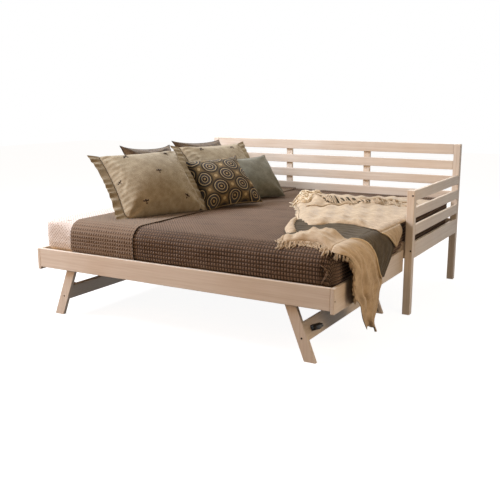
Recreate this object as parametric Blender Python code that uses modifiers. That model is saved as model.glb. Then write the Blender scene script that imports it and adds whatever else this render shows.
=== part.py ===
"""Trundle daybed: a slatted wooden daybed with a pop-up trundle on folding leg frames, made up as one bed.

Metres, +Z up. The origin is on the floor under the middle of the whole bed: X runs along the mattresses with
the head end at -X, the trundle is on the -Y side and the daybed's back on the +Y side.
"""
import math
from collections import namedtuple

import bmesh
import bpy
import numpy as np
from mathutils import Matrix, Vector
from mathutils.bvhtree import BVHTree

# Clearances
SEAT = 0.0003               # between faces that touch
TUCK = 0.002                # between a tucked coverlet and the frame round it
ROLL_SIDE = 0.003           # between the trundle and each post that it rolls between
ROLL_BACK = 0.008           # between the raised trundle and the daybed
LEG_CLEARANCE = 0.004       # between a folding leg and the ledger above it
PIN_CLEARANCE = 0.0004      # round a bolt or an axle in its bore
WHEEL_CLEARANCE = 0.0015    # between a caster's wheel and its fork

# Mattresses and coverlet
MATTRESS_LENGTH = 1.8914
MATTRESS_WIDTH = 0.974
MATTRESS_THICKNESS = 0.1915
MATTRESS_CORNER = 0.060     # radius of the upright corners
MATTRESS_EDGE = 0.030       # radius of the top and bottom edges
COVERLET = 0.004            # thickness of one layer
COVERLET_HEM = 0.010        # height of the tucked hem above the slats
BARE_HEAD = 0.225           # from the head end to the fold of the turned down coverlet
TURN_DOWN = 0.470           # width of the turned down layer

# Painted boards
BOARD = 0.021               # thickness of slats and rails
POST = 0.046                # square posts
EASED = 0.003               # rounding of the edges
EASED_LIMIT = 0.4           # the rounding's largest share of a board's thickness
TOP_SLAT_HEIGHT = 0.071
SLAT_HEIGHT = 0.0625
RAIL_HEIGHT = 0.100
STILE_WIDTH = 0.050
STILE_OFFSET = 0.325        # from the middle of the back
FRONT_RAIL_RECESS = 0.010   # behind the front of the posts

# Heights of the daybed
BACK_HEIGHT = 0.972
ARM_HEIGHT = 0.757
RAIL_BOTTOM = 0.345         # clear height that the lowered trundle rolls into
BACK_SLATS = 4
ARM_SLATS = 3
LOW_GAP_SHARES = 3          # the open strip behind the mattress counts as this many slat gaps

# Slat decks
LEDGER_HEIGHT = 0.020
LEDGER_DEPTH = 0.022
HOUSING = 0.002             # depth that a deck slat is let into the ledger
DECK_SLAT_WIDTH = 0.070
DECK_SLAT_THICKNESS = 0.016
DECK_SLATS = 12
DECK_END_GAP = 0.030        # from the last slat to the end of the ledger

# Trundle frame
TRUNDLE_LIP = 0.019         # the boards' top edge above the slats
SIDE_BOARD_HEIGHT = 0.130
FRONT_BOARD_HEIGHT = 0.1145

# Folding leg frames
SPLAY = math.radians(21.5)  # outward lean of a standing leg
LEG_WIDTH = 0.058
LEG_THICKNESS = 0.022
PIVOT_INSET = 0.256         # from the trundle's end to the leg pivot
STRETCHER_WIDTH = 0.097
STRETCHER_THICKNESS = 0.020
STRETCHER_DROP = 0.1876     # from the pivot to the stretcher's middle, along the leg
STOP_DEPTH = 0.060          # height of the bearer that stops the leg
BOLT_RADIUS = 0.004
BOLT_HEAD_RADIUS = 0.009
BOLT_HEAD = 0.005
BOLT_REACH = 0.012          # into the board

# Casters
WHEEL_RADIUS = 0.025
WHEEL_WIDTH = 0.020
WHEEL_ROUND = 0.004
AXLE_RADIUS = 0.004
AXLE_STAND = 0.036          # from the stretcher to the axle
FORK_WALL = 0.003
FORK_LENGTH = 0.030
FORK_EAR = 0.009            # fork past the axle
CASTER_INSET = 0.100        # from a leg to its caster's middle

# Counterbores for the assembly bolts
BORE_RADIUS = 0.006
BORE_DEPTH = 0.008
LEG_BORE_RISE = 0.118       # height of the stretcher bolt above the floor
SIDE_BORE_RISE = 0.065      # height of the corner bolt above the side board's lower edge

# Pillows: sizes, then where the lower edge stands from the head end and from the daybed's front face
PILLOW_EDGE = 0.016         # thickness at the seam
PULL = 0.07                 # share by which the sides draw in between the corners
CROWN = 0.42                # power of the crown: a small one is a full pillow
Pillow = namedtuple("Pillow", "name width height thickness from_head from_front yaw lean roll colour")
PILLOWS = (
    Pillow("pillow_dark_trundle", 0.434, 0.475, 0.130, 0.410, -0.275, -12, 33, -2, "pillow_brown"),
    Pillow("pillow_dark_daybed", 0.620, 0.465, 0.130, 0.313, 0.538, -1, 33, -2, "pillow_brown"),
    Pillow("pillow_sham_trundle", 0.656, 0.490, 0.155, 0.587, -0.556, -25, 43, 2, "pillow_beige"),
    Pillow("pillow_sham_daybed", 0.700, 0.505, 0.155, 0.572, 0.374, -15, 43, 0, "pillow_beige"),
    Pillow("pillow_patterned", 0.462, 0.420, 0.135, 0.783, -0.060, -26, 44, 4, "pillow_pattern"),
    Pillow("pillow_grey_green", 0.420, 0.380, 0.120, 0.700, 0.400, -27, 41, 2, "pillow_grey"),
)

# Throw: how far its edges and tips lie from the foot end and from the daybed's front face
THROW = 0.010               # thickness of the folded layers
THROW_FOLD = 0.016          # height of the folds
THROW_FOLD_PITCH = 0.240
THROW_STAND = 0.011         # between the hanging throw and the trundle's end
THROW_TURN = 0.050          # radius where the cloth turns over the edge
FOLD_AT_EDGE = 0.4          # share of a fold's height at the throw's open edge
FOLD_FADE = 0.15            # share of the throw's reach over which a fold comes to its full height
FOLD_INSIDE = 0.6           # share of a fold's height on the cloth's inner face
THROW_BACK_REACH = 0.860    # on the daybed, from its front face
THROW_BACK_LENGTH = 0.980   # reach over the bed at the back, from the foot end
THROW_MIDDLE_LENGTH = 0.720
THROW_FRONT_LENGTH = 0.310
THROW_FRONT_MARGIN = 0.020  # from the trundle mattress's front
FALL_FRONT = -0.870         # the fall's extent along the bed's foot
FALL_BACK = -0.170
FALL_LONG = 0.500           # drop of the long panel
FALL_MIDDLE = 0.250         # drop of the grey corner
FALL_SHORT = 0.120          # drop of the last corner
FALL_LONG_END = -0.460      # where the long panel ends
FALL_MIDDLE_END = -0.260    # where the grey corner ends
FALL_SLANT = 0.030          # width over which the drop changes
FALL_OPENING = 0.100        # drop in which the folds come to their full height

# Worked out: plan
end_room = SEAT + COVERLET + TUCK
side_room = SEAT + 2 * COVERLET + TUCK
inner_length = MATTRESS_LENGTH + 2 * end_room
inner_width = MATTRESS_WIDTH + 2 * side_room
trundle_length = inner_length + 2 * BOARD
trundle_depth = inner_width + 2 * BOARD
between_posts = trundle_length + 2 * ROLL_SIDE
daybed_length = between_posts + 2 * POST
daybed_depth = FRONT_RAIL_RECESS + BOARD + inner_width + POST
total_depth = trundle_depth + ROLL_BACK + daybed_depth
trundle_front = -total_depth / 2
trundle_back = trundle_front + trundle_depth
daybed_front = trundle_back + ROLL_BACK
daybed_back = total_depth / 2
back_face = daybed_back - POST
front_rail_face = daybed_front + FRONT_RAIL_RECESS
seam = trundle_back + ROLL_BACK / 2
head = -MATTRESS_LENGTH / 2
foot = MATTRESS_LENGTH / 2

# Worked out: where the throw turns over the foot
hang_x = trundle_length / 2 + THROW_STAND
fall_start = min(foot - MATTRESS_EDGE, hang_x - THROW_TURN)

# Worked out: heights
rail_top = RAIL_BOTTOM + RAIL_HEIGHT
slat_bottom = RAIL_BOTTOM + LEDGER_HEIGHT
deck_top = slat_bottom + DECK_SLAT_THICKNESS
mattress_bottom = deck_top + SEAT
mattress_top = mattress_bottom + MATTRESS_THICKNESS
coverlet_top = mattress_top + SEAT + COVERLET
turned_top = coverlet_top + COVERLET
hem_bottom = deck_top + COVERLET_HEM
trundle_top = deck_top + TRUNDLE_LIP
side_board_bottom = trundle_top - SIDE_BOARD_HEIGHT
front_board_bottom = trundle_top - FRONT_BOARD_HEIGHT
pivot_height = RAIL_BOTTOM - LEG_CLEARANCE - LEG_WIDTH / 2
pivot_x = trundle_length / 2 - PIVOT_INSET

# Facets of round forms
SHARP = math.radians(40)    # edges that turn more than this stay crisp
CORNER_STEPS = 5            # in a mattress's upright corner
EDGE_STEPS = 4              # in its top and bottom edges
LEG_TOP_STEPS = 12          # in the round top of a leg
WHEEL_STEPS = 28            # round a wheel
TREAD_STEPS = 3             # across the rounding of its tread
PILLOW_CELLS = 6            # along each side of a pillow's cage
TURN_STEPS = 6              # in the throw where it turns over the foot
FALL_STEPS = 6              # down the hanging throw

# Paint, cloth and metal
COLOURS = {
    "painted_wood": ("#D9C8B4", 0.45, 0.0),
    "deck_wood": ("#C9AE86", 0.6, 0.0),
    "mattress_ticking": ("#EDE6DC", 0.9, 0.0),
    "coverlet_cloth": ("#5A4A3E", 0.95, 0.0),
    "pillow_brown": ("#4A3B2E", 0.95, 0.0),
    "pillow_beige": ("#A2916F", 0.9, 0.0),
    "pillow_pattern": ("#7C7366", 0.9, 0.0),
    "pillow_grey": ("#77766A", 0.9, 0.0),
    "throw_cloth": ("#DCC9A6", 0.95, 0.0),
    "caster_plastic": ("#171615", 0.5, 0.0),
    "zinc_bolt": ("#8B8B88", 0.35, 1.0),
}


def linear(channel):
    """One sRGB channel, 0 to 1, as linear light."""
    return channel / 12.92 if channel <= 0.04045 else ((channel + 0.055) / 1.055) ** 2.4


def make_material(name):
    colour, roughness, metallic = COLOURS[name]
    material = bpy.data.materials.new(name)
    material.use_nodes = True
    shader = material.node_tree.nodes["Principled BSDF"]
    channels = [linear(int(colour[i : i + 2], 16) / 255) for i in (1, 3, 5)]
    shader.inputs["Base Color"].default_value = (*channels, 1.0)
    shader.inputs["Roughness"].default_value = roughness
    shader.inputs["Metallic"].default_value = metallic
    return material


def new_collection(name):
    collection = bpy.data.collections.new(name)
    bpy.context.scene.collection.children.link(collection)
    return collection


def add_object(name, mesh, colour, location=(0, 0, 0), rotation=None):
    """A named part with one material, placed by its location and rotation."""
    obj = bpy.data.objects.new(name, mesh)
    parts.objects.link(obj)
    mesh.materials.clear()
    mesh.materials.append(materials[colour])
    obj.matrix_world = Matrix.Translation(location) @ (rotation or Matrix.Identity(4))
    return obj


def mesh_from(name, build):
    """A mesh made by build, which fills a bmesh."""
    mesh = bpy.data.meshes.new(name)
    form = bmesh.new()
    build(form)
    form.to_mesh(mesh)
    form.free()
    return mesh


def box_mesh(name, size):
    def build(form):
        bmesh.ops.create_cube(form, size=1)
        bmesh.ops.scale(form, vec=size, verts=form.verts)

    return mesh_from(name, build)


def cylinder_mesh(name, radius, length, sides=20):
    def build(form):
        size = {"radius1": radius, "radius2": radius, "depth": length}
        bmesh.ops.create_cone(form, cap_ends=True, segments=sides, **size)

    mesh = mesh_from(name, build)
    mesh.shade_smooth()
    mesh.set_sharp_from_angle(angle=SHARP)
    return mesh


def eased(obj, size):
    """Rounds every edge of a board of the given size."""
    bevel = obj.modifiers.new("eased edges", "BEVEL")
    bevel.width = min(EASED, EASED_LIMIT * min(size))
    bevel.segments = 2
    return obj


def board(name, low, high, colour="painted_wood"):
    """A board between two corners, with eased edges."""
    low, high = Vector(low), Vector(high)
    size = high - low
    return eased(add_object(name, box_mesh(name, size), colour, (low + high) / 2), size)


def bake(obj):
    """Replaces the object's mesh by its evaluated one and drops its modifiers."""
    bpy.context.view_layer.update()
    graph = bpy.context.evaluated_depsgraph_get()
    mesh = bpy.data.meshes.new_from_object(obj.evaluated_get(graph))
    obj.modifiers.clear()
    obj.data = mesh
    return obj


def combine(obj, helpers, operation):
    """Joins or cuts the object with helper objects, then removes those."""
    for helper in helpers:
        boolean = obj.modifiers.new(operation.lower(), "BOOLEAN")
        boolean.operation = operation
        boolean.object = helper
    bake(obj)
    for helper in helpers:
        bpy.data.objects.remove(helper)
    return obj


def helper_object(name, mesh, location=(0, 0, 0), rotation=None):
    """A helper for a Boolean, which isn't part of the bed."""
    obj = bpy.data.objects.new(name, mesh)
    helpers.objects.link(obj)
    obj.matrix_world = Matrix.Translation(location) @ (rotation or Matrix.Identity(4))
    obj.hide_render = True
    obj.display_type = "WIRE"
    return obj


def helper_box(low, high):
    low, high = Vector(low), Vector(high)
    return helper_object("helper box", box_mesh("helper box", high - low), (low + high) / 2)


def rod_along(axis):
    """Turns a cylinder from Z to the axis."""
    return Vector((0, 0, 1)).rotation_difference(Vector(axis)).to_matrix().to_4x4()


def counterbore(obj, points, axis):
    """Sinks a bolt recess into the face at each point; axis points out of the face."""
    mesh = cylinder_mesh("counterbore", BORE_RADIUS, 2 * BORE_DEPTH, sides=16)
    cutters = [helper_object("counterbore", mesh, point, rod_along(axis)) for point in points]
    return combine(obj, cutters, "DIFFERENCE")


def outline_mesh(name, points, thickness):
    """A flat outline in the XZ plane, given as (x, z), with its thickness along Y about y = 0."""
    curve = bpy.data.curves.new(name, "CURVE")
    curve.dimensions = "2D"
    curve.fill_mode = "BOTH"
    curve.extrude = thickness / 2
    spline = curve.splines.new("POLY")
    spline.points.add(len(points) - 1)
    for point, (x, z) in zip(spline.points, points):
        point.co = (x, z, 0, 1)
    spline.use_cyclic_u = True
    flat = bpy.data.objects.new(name, curve)
    helpers.objects.link(flat)
    bpy.context.view_layer.update()
    graph = bpy.context.evaluated_depsgraph_get()
    mesh = bpy.data.meshes.new_from_object(flat.evaluated_get(graph))
    form = bmesh.new()
    form.from_mesh(mesh)
    bmesh.ops.remove_doubles(form, verts=form.verts, dist=1e-5)
    bmesh.ops.rotate(form, verts=form.verts, matrix=Matrix.Rotation(math.pi / 2, 3, "X"))
    bmesh.ops.recalc_face_normals(form, faces=form.faces)
    form.to_mesh(mesh)
    form.free()
    bpy.data.objects.remove(flat)
    return mesh


# Daybed frame
def make_posts():
    outer = daybed_length / 2
    bolt_rises = (ARM_HEIGHT - SLAT_HEIGHT / 2, RAIL_BOTTOM + RAIL_HEIGHT / 2)
    for side, sign in (("left", -1), ("right", 1)):
        low_x, high_x = sorted((sign * outer, sign * (outer - POST)))
        bolt_x = sign * (outer - BOARD / 2)
        front = board(
            f"front_post_{side}", (low_x, daybed_front, 0), (high_x, daybed_front + POST, ARM_HEIGHT)
        )
        counterbore(front, [(bolt_x, daybed_front, z) for z in bolt_rises], (0, -1, 0))
        back = board(f"back_post_{side}", (low_x, back_face, 0), (high_x, daybed_back, BACK_HEIGHT))
        counterbore(back, [(bolt_x, daybed_back, z) for z in bolt_rises], (0, 1, 0))


def make_back():
    """Slats between the back posts, flush with their front, stiles behind them and a rail at the bottom."""
    end = between_posts / 2 - SEAT
    slat_total = TOP_SLAT_HEIGHT + (BACK_SLATS - 1) * SLAT_HEIGHT
    gap = (BACK_HEIGHT - rail_top - slat_total) / (BACK_SLATS - 1 + LOW_GAP_SHARES)
    top = BACK_HEIGHT
    for number in range(1, BACK_SLATS + 1):
        height = TOP_SLAT_HEIGHT if number == 1 else SLAT_HEIGHT
        board(f"back_slat_{number}", (-end, back_face, top - height), (end, back_face + BOARD, top))
        top -= height + gap
    board("back_rail", (-end, back_face, RAIL_BOTTOM), (end, back_face + BOARD, rail_top))
    stile_front = back_face + BOARD + SEAT
    stile_top = BACK_HEIGHT - EASED
    for side, sign in (("left", -1), ("right", 1)):
        middle = sign * STILE_OFFSET
        board(
            f"back_stile_{side}",
            (middle - STILE_WIDTH / 2, stile_front, RAIL_BOTTOM),
            (middle + STILE_WIDTH / 2, stile_front + BOARD, stile_top),
        )


def make_arms():
    """Rails between the front and back posts, flush with their outer faces."""
    outer = daybed_length / 2
    low_y = daybed_front + POST + SEAT
    high_y = back_face - SEAT
    gap = (ARM_HEIGHT - rail_top - ARM_SLATS * SLAT_HEIGHT) / ARM_SLATS
    for side, sign in (("left", -1), ("right", 1)):
        low_x, high_x = sorted((sign * outer, sign * (outer - BOARD)))
        top = ARM_HEIGHT
        for number in range(1, ARM_SLATS + 1):
            board(f"arm_rail_{side}_{number}", (low_x, low_y, top - SLAT_HEIGHT), (high_x, high_y, top))
            top -= SLAT_HEIGHT + gap
        board(f"side_rail_{side}", (low_x, low_y, RAIL_BOTTOM), (high_x, high_y, rail_top))


def make_front_rail():
    end = between_posts / 2 - SEAT
    board("front_rail", (-end, front_rail_face, RAIL_BOTTOM), (end, front_rail_face + BOARD, rail_top))


def make_deck(name, front, back, length):
    """Two ledgers and the cross slats housed in them, between the inner faces of two rails."""
    low_y, high_y = front + SEAT, back - SEAT
    end = length / 2
    ledger_top = slat_bottom + HOUSING
    ledger_size = Vector((length, LEDGER_DEPTH, ledger_top - RAIL_BOTTOM))
    middle_z = (RAIL_BOTTOM + ledger_top) / 2
    deck = add_object(
        name, box_mesh(name, ledger_size), "deck_wood", (0, low_y + LEDGER_DEPTH / 2, middle_z)
    )
    pieces = [helper_box((-end, high_y - LEDGER_DEPTH, RAIL_BOTTOM), (end, high_y, ledger_top))]
    first = -end + DECK_END_GAP + DECK_SLAT_WIDTH / 2
    pitch = -2 * first / (DECK_SLATS - 1)
    # The slats stop short of the ledgers' backs, so that no two faces of the join coincide.
    slat_low, slat_high = low_y + HOUSING, high_y - HOUSING
    half = DECK_SLAT_WIDTH / 2
    for number in range(DECK_SLATS):
        middle = first + number * pitch
        low = (middle - half, slat_low, slat_bottom)
        high = (middle + half, slat_high, deck_top)
        pieces.append(helper_box(low, high))
    return combine(deck, pieces, "UNION")


# Mattresses and coverlet
def soft_block(name, low, high, corner, edge):
    """A block with round upright corners and rounded top and bottom edges."""
    low, high = Vector(low), Vector(high)
    size = high - low

    def build(form):
        bmesh.ops.create_cube(form, size=1)
        bmesh.ops.scale(form, vec=size, verts=form.verts)
        upright = [e for e in form.edges if abs(e.verts[0].co.z - e.verts[1].co.z) > size.z / 2]
        round_off = {"profile": 0.5, "affect": "EDGES"}
        bmesh.ops.bevel(form, geom=upright, offset=corner, segments=CORNER_STEPS, **round_off)
        rims = [e for e in form.edges if len({round(v.co.z, 5) for v in e.verts}) == 1]
        rims = [e for e in rims if any(abs(f.normal.z) < 0.5 for f in e.link_faces)]
        bmesh.ops.bevel(form, geom=rims, offset=edge, segments=EDGE_STEPS, **round_off)
        bmesh.ops.translate(form, vec=(low + high) / 2, verts=form.verts)

    return mesh_from(name, build)


def mattress_box(front):
    """The corners of a mattress whose frame's inner front face is at the given Y."""
    low_y = front + side_room
    low = (head, low_y, mattress_bottom)
    return low, (foot, low_y + MATTRESS_WIDTH, mattress_top)


def make_mattress(name, front):
    low, high = mattress_box(front)
    add_object(name, soft_block(name, low, high, MATTRESS_CORNER, MATTRESS_EDGE), "mattress_ticking")


def make_coverlet(name, front, open_side):
    """The cloth over one mattress: top, foot end and one long side, turned down at the head.

    open_side is +1 where the cloth runs on at the back to meet the other mattress's, and -1 at the front.
    """
    past = MATTRESS_LENGTH
    far = 4 * past
    fold = head + BARE_HEAD
    hem_line = fold + TURN_DOWN
    reach = seam - open_side * SEAT
    low, high = (Vector(corner) for corner in mattress_box(front))
    mattress_side = high.y if open_side > 0 else low.y
    # The cloth is cut from blocks that run on past the seam, the head end and the hem.
    low.x -= past
    low.z -= past
    if open_side > 0:
        high.y += past
    else:
        low.y -= past

    def block(by):
        grow = Vector((by, by, by))
        return soft_block("cloth block", low - grow, high + grow, MATTRESS_CORNER + by, MATTRESS_EDGE + by)

    cloth = add_object(name, block(SEAT + COVERLET), "coverlet_cloth")
    turned = helper_object("turned down layer", block(SEAT + 2 * COVERLET))
    combine(turned, [helper_box((hem_line, -far, -far), (far, far, far))], "DIFFERENCE")
    combine(cloth, [turned], "UNION")
    beyond_y = sorted((reach, reach + open_side * far))
    bridge_y = sorted((mattress_side, mattress_side + open_side * far))
    bridge_bottom = mattress_top - MATTRESS_EDGE
    cuts = [
        helper_object("mattress room", block(SEAT)),
        helper_box((-far, -far, -far), (fold, far, far)),
        helper_box((-far, -far, -far), (far, far, hem_bottom)),
        helper_box((-far, beyond_y[0], -far), (far, beyond_y[1], far)),
        helper_box((-far, bridge_y[0], -far), (far, bridge_y[1], bridge_bottom)),
    ]
    return combine(cloth, cuts, "DIFFERENCE")


# Trundle frame
def make_trundle_frame():
    end = trundle_length / 2
    inner = inner_length / 2 - SEAT
    middle_z = side_board_bottom + SIDE_BOARD_HEIGHT / 2
    board(
        "trundle_front_board",
        (-inner, trundle_front, front_board_bottom),
        (inner, trundle_front + BOARD, trundle_top),
    )
    board(
        "trundle_back_board",
        (-inner, trundle_back - BOARD, front_board_bottom),
        (inner, trundle_back, trundle_top),
    )
    bolt_rise = side_board_bottom + SIDE_BORE_RISE
    bolt_places = (trundle_front + BOARD / 2, trundle_back - BOARD / 2)
    for side, sign in (("left", -1), ("right", 1)):
        low_x, high_x = sorted((sign * end, sign * (end - BOARD)))
        rail = board(
            f"trundle_side_board_{side}",
            (low_x, trundle_front, side_board_bottom),
            (high_x, trundle_back, trundle_top),
        )
        counterbore(rail, [(sign * end, y, bolt_rise) for y in bolt_places], (sign, 0, 0))


def make_stop(side, sign):
    """The bearer across the trundle whose slanted face a standing leg leans on."""
    reach = LEG_WIDTH / 2 + SEAT
    top = RAIL_BOTTOM - SEAT
    bottom = top - STOP_DEPTH

    def face_x(z):
        return pivot_x + reach / math.cos(SPLAY) + (pivot_height - z) * math.tan(SPLAY)

    outer = face_x(bottom) + BOARD
    outline = [(face_x(top), top), (face_x(bottom), bottom), (outer, bottom), (outer, top)]
    outline = [(sign * x, z) for x, z in outline]
    length = inner_width - 2 * SEAT
    name = f"leg_stop_{side}"
    middle_y = (trundle_front + trundle_back) / 2
    return add_object(name, outline_mesh(name, outline, length), "deck_wood", (0, middle_y, 0))


def leg_outline(sign):
    """A leg along -Z from its pivot at the origin: round top, foot cut to stand flat when splayed."""
    half = LEG_WIDTH / 2
    length = pivot_height / math.cos(SPLAY)
    slant = half * math.tan(SPLAY)
    angles = [math.pi * i / LEG_TOP_STEPS for i in range(LEG_TOP_STEPS + 1)]
    arc = [(half * math.cos(angle), half * math.sin(angle)) for angle in angles]
    return arc + [(-half, -length + sign * slant), (half, -length - sign * slant)]


def leg_frame_turn(sign):
    """Turns a leg frame from hanging straight down to its splayed stand."""
    return Matrix.Rotation(-sign * SPLAY, 4, "Y")


def make_leg_frame(side, sign):
    """Two legs, the stretcher between them and the pivot bolts, on an empty at the pivot."""
    front_y = trundle_front + BOARD + SEAT + LEG_THICKNESS / 2
    back_y = trundle_back - BOARD - SEAT - LEG_THICKNESS / 2
    middle_y = (front_y + back_y) / 2
    turn = leg_frame_turn(sign)
    pivot = Vector((sign * pivot_x, middle_y, pivot_height))
    hub = bpy.data.objects.new(f"{side}_leg_frame_pivot", None)
    parts.objects.link(hub)
    hub.matrix_world = Matrix.Translation(pivot) @ turn
    bpy.context.view_layer.update()
    bore = cylinder_mesh("pivot bore", BOLT_RADIUS + PIN_CLEARANCE, 2 * LEG_THICKNESS, sides=24)
    bolt_z = -(pivot_height - LEG_BORE_RISE) / math.cos(SPLAY)
    for place, y, outward in (("front", front_y, -1), ("back", back_y, 1)):
        name = f"{side}_leg_{place}"
        at = Vector((sign * pivot_x, y, pivot_height))
        mesh = outline_mesh(name, leg_outline(sign), LEG_THICKNESS)
        leg = add_object(name, mesh, "painted_wood", at, turn)
        combine(leg, [helper_object("pivot bore", bore, at, rod_along((0, 1, 0)))], "DIFFERENCE")
        bolt_at = at + turn @ Vector((0, outward * LEG_THICKNESS / 2, bolt_z))
        counterbore(leg, [bolt_at], (0, outward, 0))
        attach(leg, hub)
        make_pivot_bolt(f"{side}_pivot_bolt_{place}", at, outward)
    length = back_y - front_y - LEG_THICKNESS - 2 * SEAT
    name = f"{side}_stretcher"
    size = (STRETCHER_THICKNESS, length, STRETCHER_WIDTH)
    middle = pivot + turn @ Vector((0, 0, -STRETCHER_DROP))
    stretcher = eased(add_object(name, box_mesh(name, size), "painted_wood", middle, turn), size)
    attach(stretcher, hub)
    inner_front = front_y + LEG_THICKNESS / 2
    inner_back = back_y - LEG_THICKNESS / 2
    for place, y in (("front", inner_front + CASTER_INSET), ("back", inner_back - CASTER_INSET)):
        make_caster(f"{side}_caster_{place}", sign, y - middle_y, hub)


def attach(obj, parent):
    """Parents the object and leaves it where it is."""
    bpy.context.view_layer.update()
    place = obj.matrix_world.copy()
    obj.parent = parent
    obj.matrix_parent_inverse = parent.matrix_world.inverted()
    obj.matrix_world = place


def make_pivot_bolt(name, at, outward):
    """A bolt through the leg into the board, with its head on the leg's inner face."""
    face = at.y - outward * (LEG_THICKNESS / 2 + SEAT)
    tip = at.y + outward * (LEG_THICKNESS / 2 + SEAT + BOLT_REACH)
    head_middle = face - outward * BOLT_HEAD / 2
    shank_length = abs(tip - head_middle)
    shank_middle = (tip + head_middle) / 2
    across = rod_along((0, 1, 0))
    bolt = add_object(
        name, cylinder_mesh(name, BOLT_HEAD_RADIUS, BOLT_HEAD, sides=6), "zinc_bolt",
        (at.x, head_middle, at.z), across,
    )
    shank = cylinder_mesh("shank", BOLT_RADIUS, shank_length)
    combine(bolt, [helper_object("shank", shank, (at.x, shank_middle, at.z), across)], "UNION")
    board_name = "trundle_front_board" if outward < 0 else "trundle_back_board"
    depth = BOLT_REACH + PIN_CLEARANCE
    hole = cylinder_mesh("bolt hole", BOLT_RADIUS + PIN_CLEARANCE, 2 * depth, sides=24)
    inner_face = at.y + outward * (LEG_THICKNESS / 2 + SEAT)
    target = bpy.data.objects[board_name]
    combine(target, [helper_object("bolt hole", hole, (at.x, inner_face, at.z), across)], "DIFFERENCE")


def make_caster(name, sign, along, hub):
    """A fork with its axle on the stretcher's outer face, and the wheel on the axle.

    In the leg frame's own axes the fork opens outward, and the axle runs along the leg, so that the wheel
    rolls along Y when the legs are folded flat.
    """
    inside = WHEEL_WIDTH / 2 + WHEEL_CLEARANCE
    outside = inside + FORK_WALL
    base = STRETCHER_THICKNESS / 2 + SEAT
    axle_out = base + AXLE_STAND
    far = axle_out + FORK_EAR
    floor = base + FORK_WALL
    outline = [(base, -outside), (far, -outside), (far, -inside), (floor, -inside)]
    outline += [(x, -z) for x, z in reversed(outline)]
    outline = [(sign * x, z) for x, z in outline]
    at = hub.matrix_world @ Vector((0, along, -STRETCHER_DROP))
    turn = leg_frame_turn(sign)
    fork = add_object(f"{name}_fork", outline_mesh(name, outline, FORK_LENGTH), "caster_plastic", at, turn)
    axle_at = hub.matrix_world @ Vector((sign * axle_out, along, -STRETCHER_DROP))
    axle = cylinder_mesh("axle", AXLE_RADIUS, 2 * inside + FORK_WALL)
    combine(fork, [helper_object("axle", axle, axle_at, turn)], "UNION")
    attach(fork, hub)
    wheel = add_object(f"{name}_wheel", wheel_mesh(f"{name}_wheel"), "caster_plastic", axle_at, turn)
    attach(wheel, hub)


def wheel_mesh(name):
    """A turned wheel about Z: the profile runs down its tread and back up its bore."""
    half = WHEEL_WIDTH / 2
    bore = AXLE_RADIUS + PIN_CLEARANCE
    angles = [math.pi / 2 * i / TREAD_STEPS for i in range(TREAD_STEPS + 1)]
    centre = WHEEL_RADIUS - WHEEL_ROUND
    upper = [(centre + WHEEL_ROUND * math.sin(a), half - WHEEL_ROUND * (1 - math.cos(a))) for a in angles]
    lower = [(r, -z) for r, z in reversed(upper)]
    profile = [(bore, half)] + upper + lower + [(bore, -half)]

    def build(form):
        verts = [form.verts.new((r, 0, z)) for r, z in profile]
        for first, second in zip(verts, verts[1:] + verts[:1]):
            form.edges.new((first, second))

    mesh = mesh_from(name, build)
    turned = helper_object(name, mesh)
    screw = turned.modifiers.new("turned", "SCREW")
    screw.steps = WHEEL_STEPS
    screw.render_steps = WHEEL_STEPS
    screw.use_merge_vertices = True
    screw.merge_threshold = 0.0001
    bake(turned)
    mesh = turned.data
    bpy.data.objects.remove(turned)
    form = bmesh.new()
    form.from_mesh(mesh)
    bmesh.ops.recalc_face_normals(form, faces=form.faces)
    form.to_mesh(mesh)
    form.free()
    mesh.shade_smooth()
    mesh.set_sharp_from_angle(angle=SHARP)
    return mesh


# Pillows
def pillow_cage(width, height, thickness):
    """A coarse pillow in the XZ plane, lower edge at z = 0: crowned, its sides drawn in between the ears."""
    def build(form):
        bmesh.ops.create_grid(form, x_segments=PILLOW_CELLS, y_segments=PILLOW_CELLS, size=1)
        front = list(form.faces)
        made = bmesh.ops.extrude_face_region(form, geom=front, use_keep_orig=True)
        back = {v for v in made["geom"] if isinstance(v, bmesh.types.BMVert)}
        for vert in form.verts:
            u, v = vert.co.x, vert.co.y
            swell = max((1 - u * u) * (1 - v * v), 0) ** CROWN
            depth = PILLOW_EDGE / 2 + (thickness - PILLOW_EDGE) / 2 * swell
            x = u * width / 2 * (1 - PULL * (1 - v * v))
            z = height / 2 + v * height / 2 * (1 - PULL * (1 - u * u))
            vert.co = (x, depth if vert in back else -depth, z)
        bmesh.ops.recalc_face_normals(form, faces=form.faces)

    return build


def surface_tree(obj):
    """The evaluated surface in world space, for contact tests."""
    graph = bpy.context.evaluated_depsgraph_get()
    evaluated = obj.evaluated_get(graph)
    mesh = evaluated.to_mesh()
    points = [obj.matrix_world @ v.co for v in mesh.vertices]
    faces = [tuple(p.vertices) for p in mesh.polygons]
    evaluated.to_mesh_clear()
    return points, faces


def touches(points, faces, shift, others):
    tree = BVHTree.FromPolygons([p + shift for p in points], faces)
    return any(tree.overlap(other) for other in others)


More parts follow.
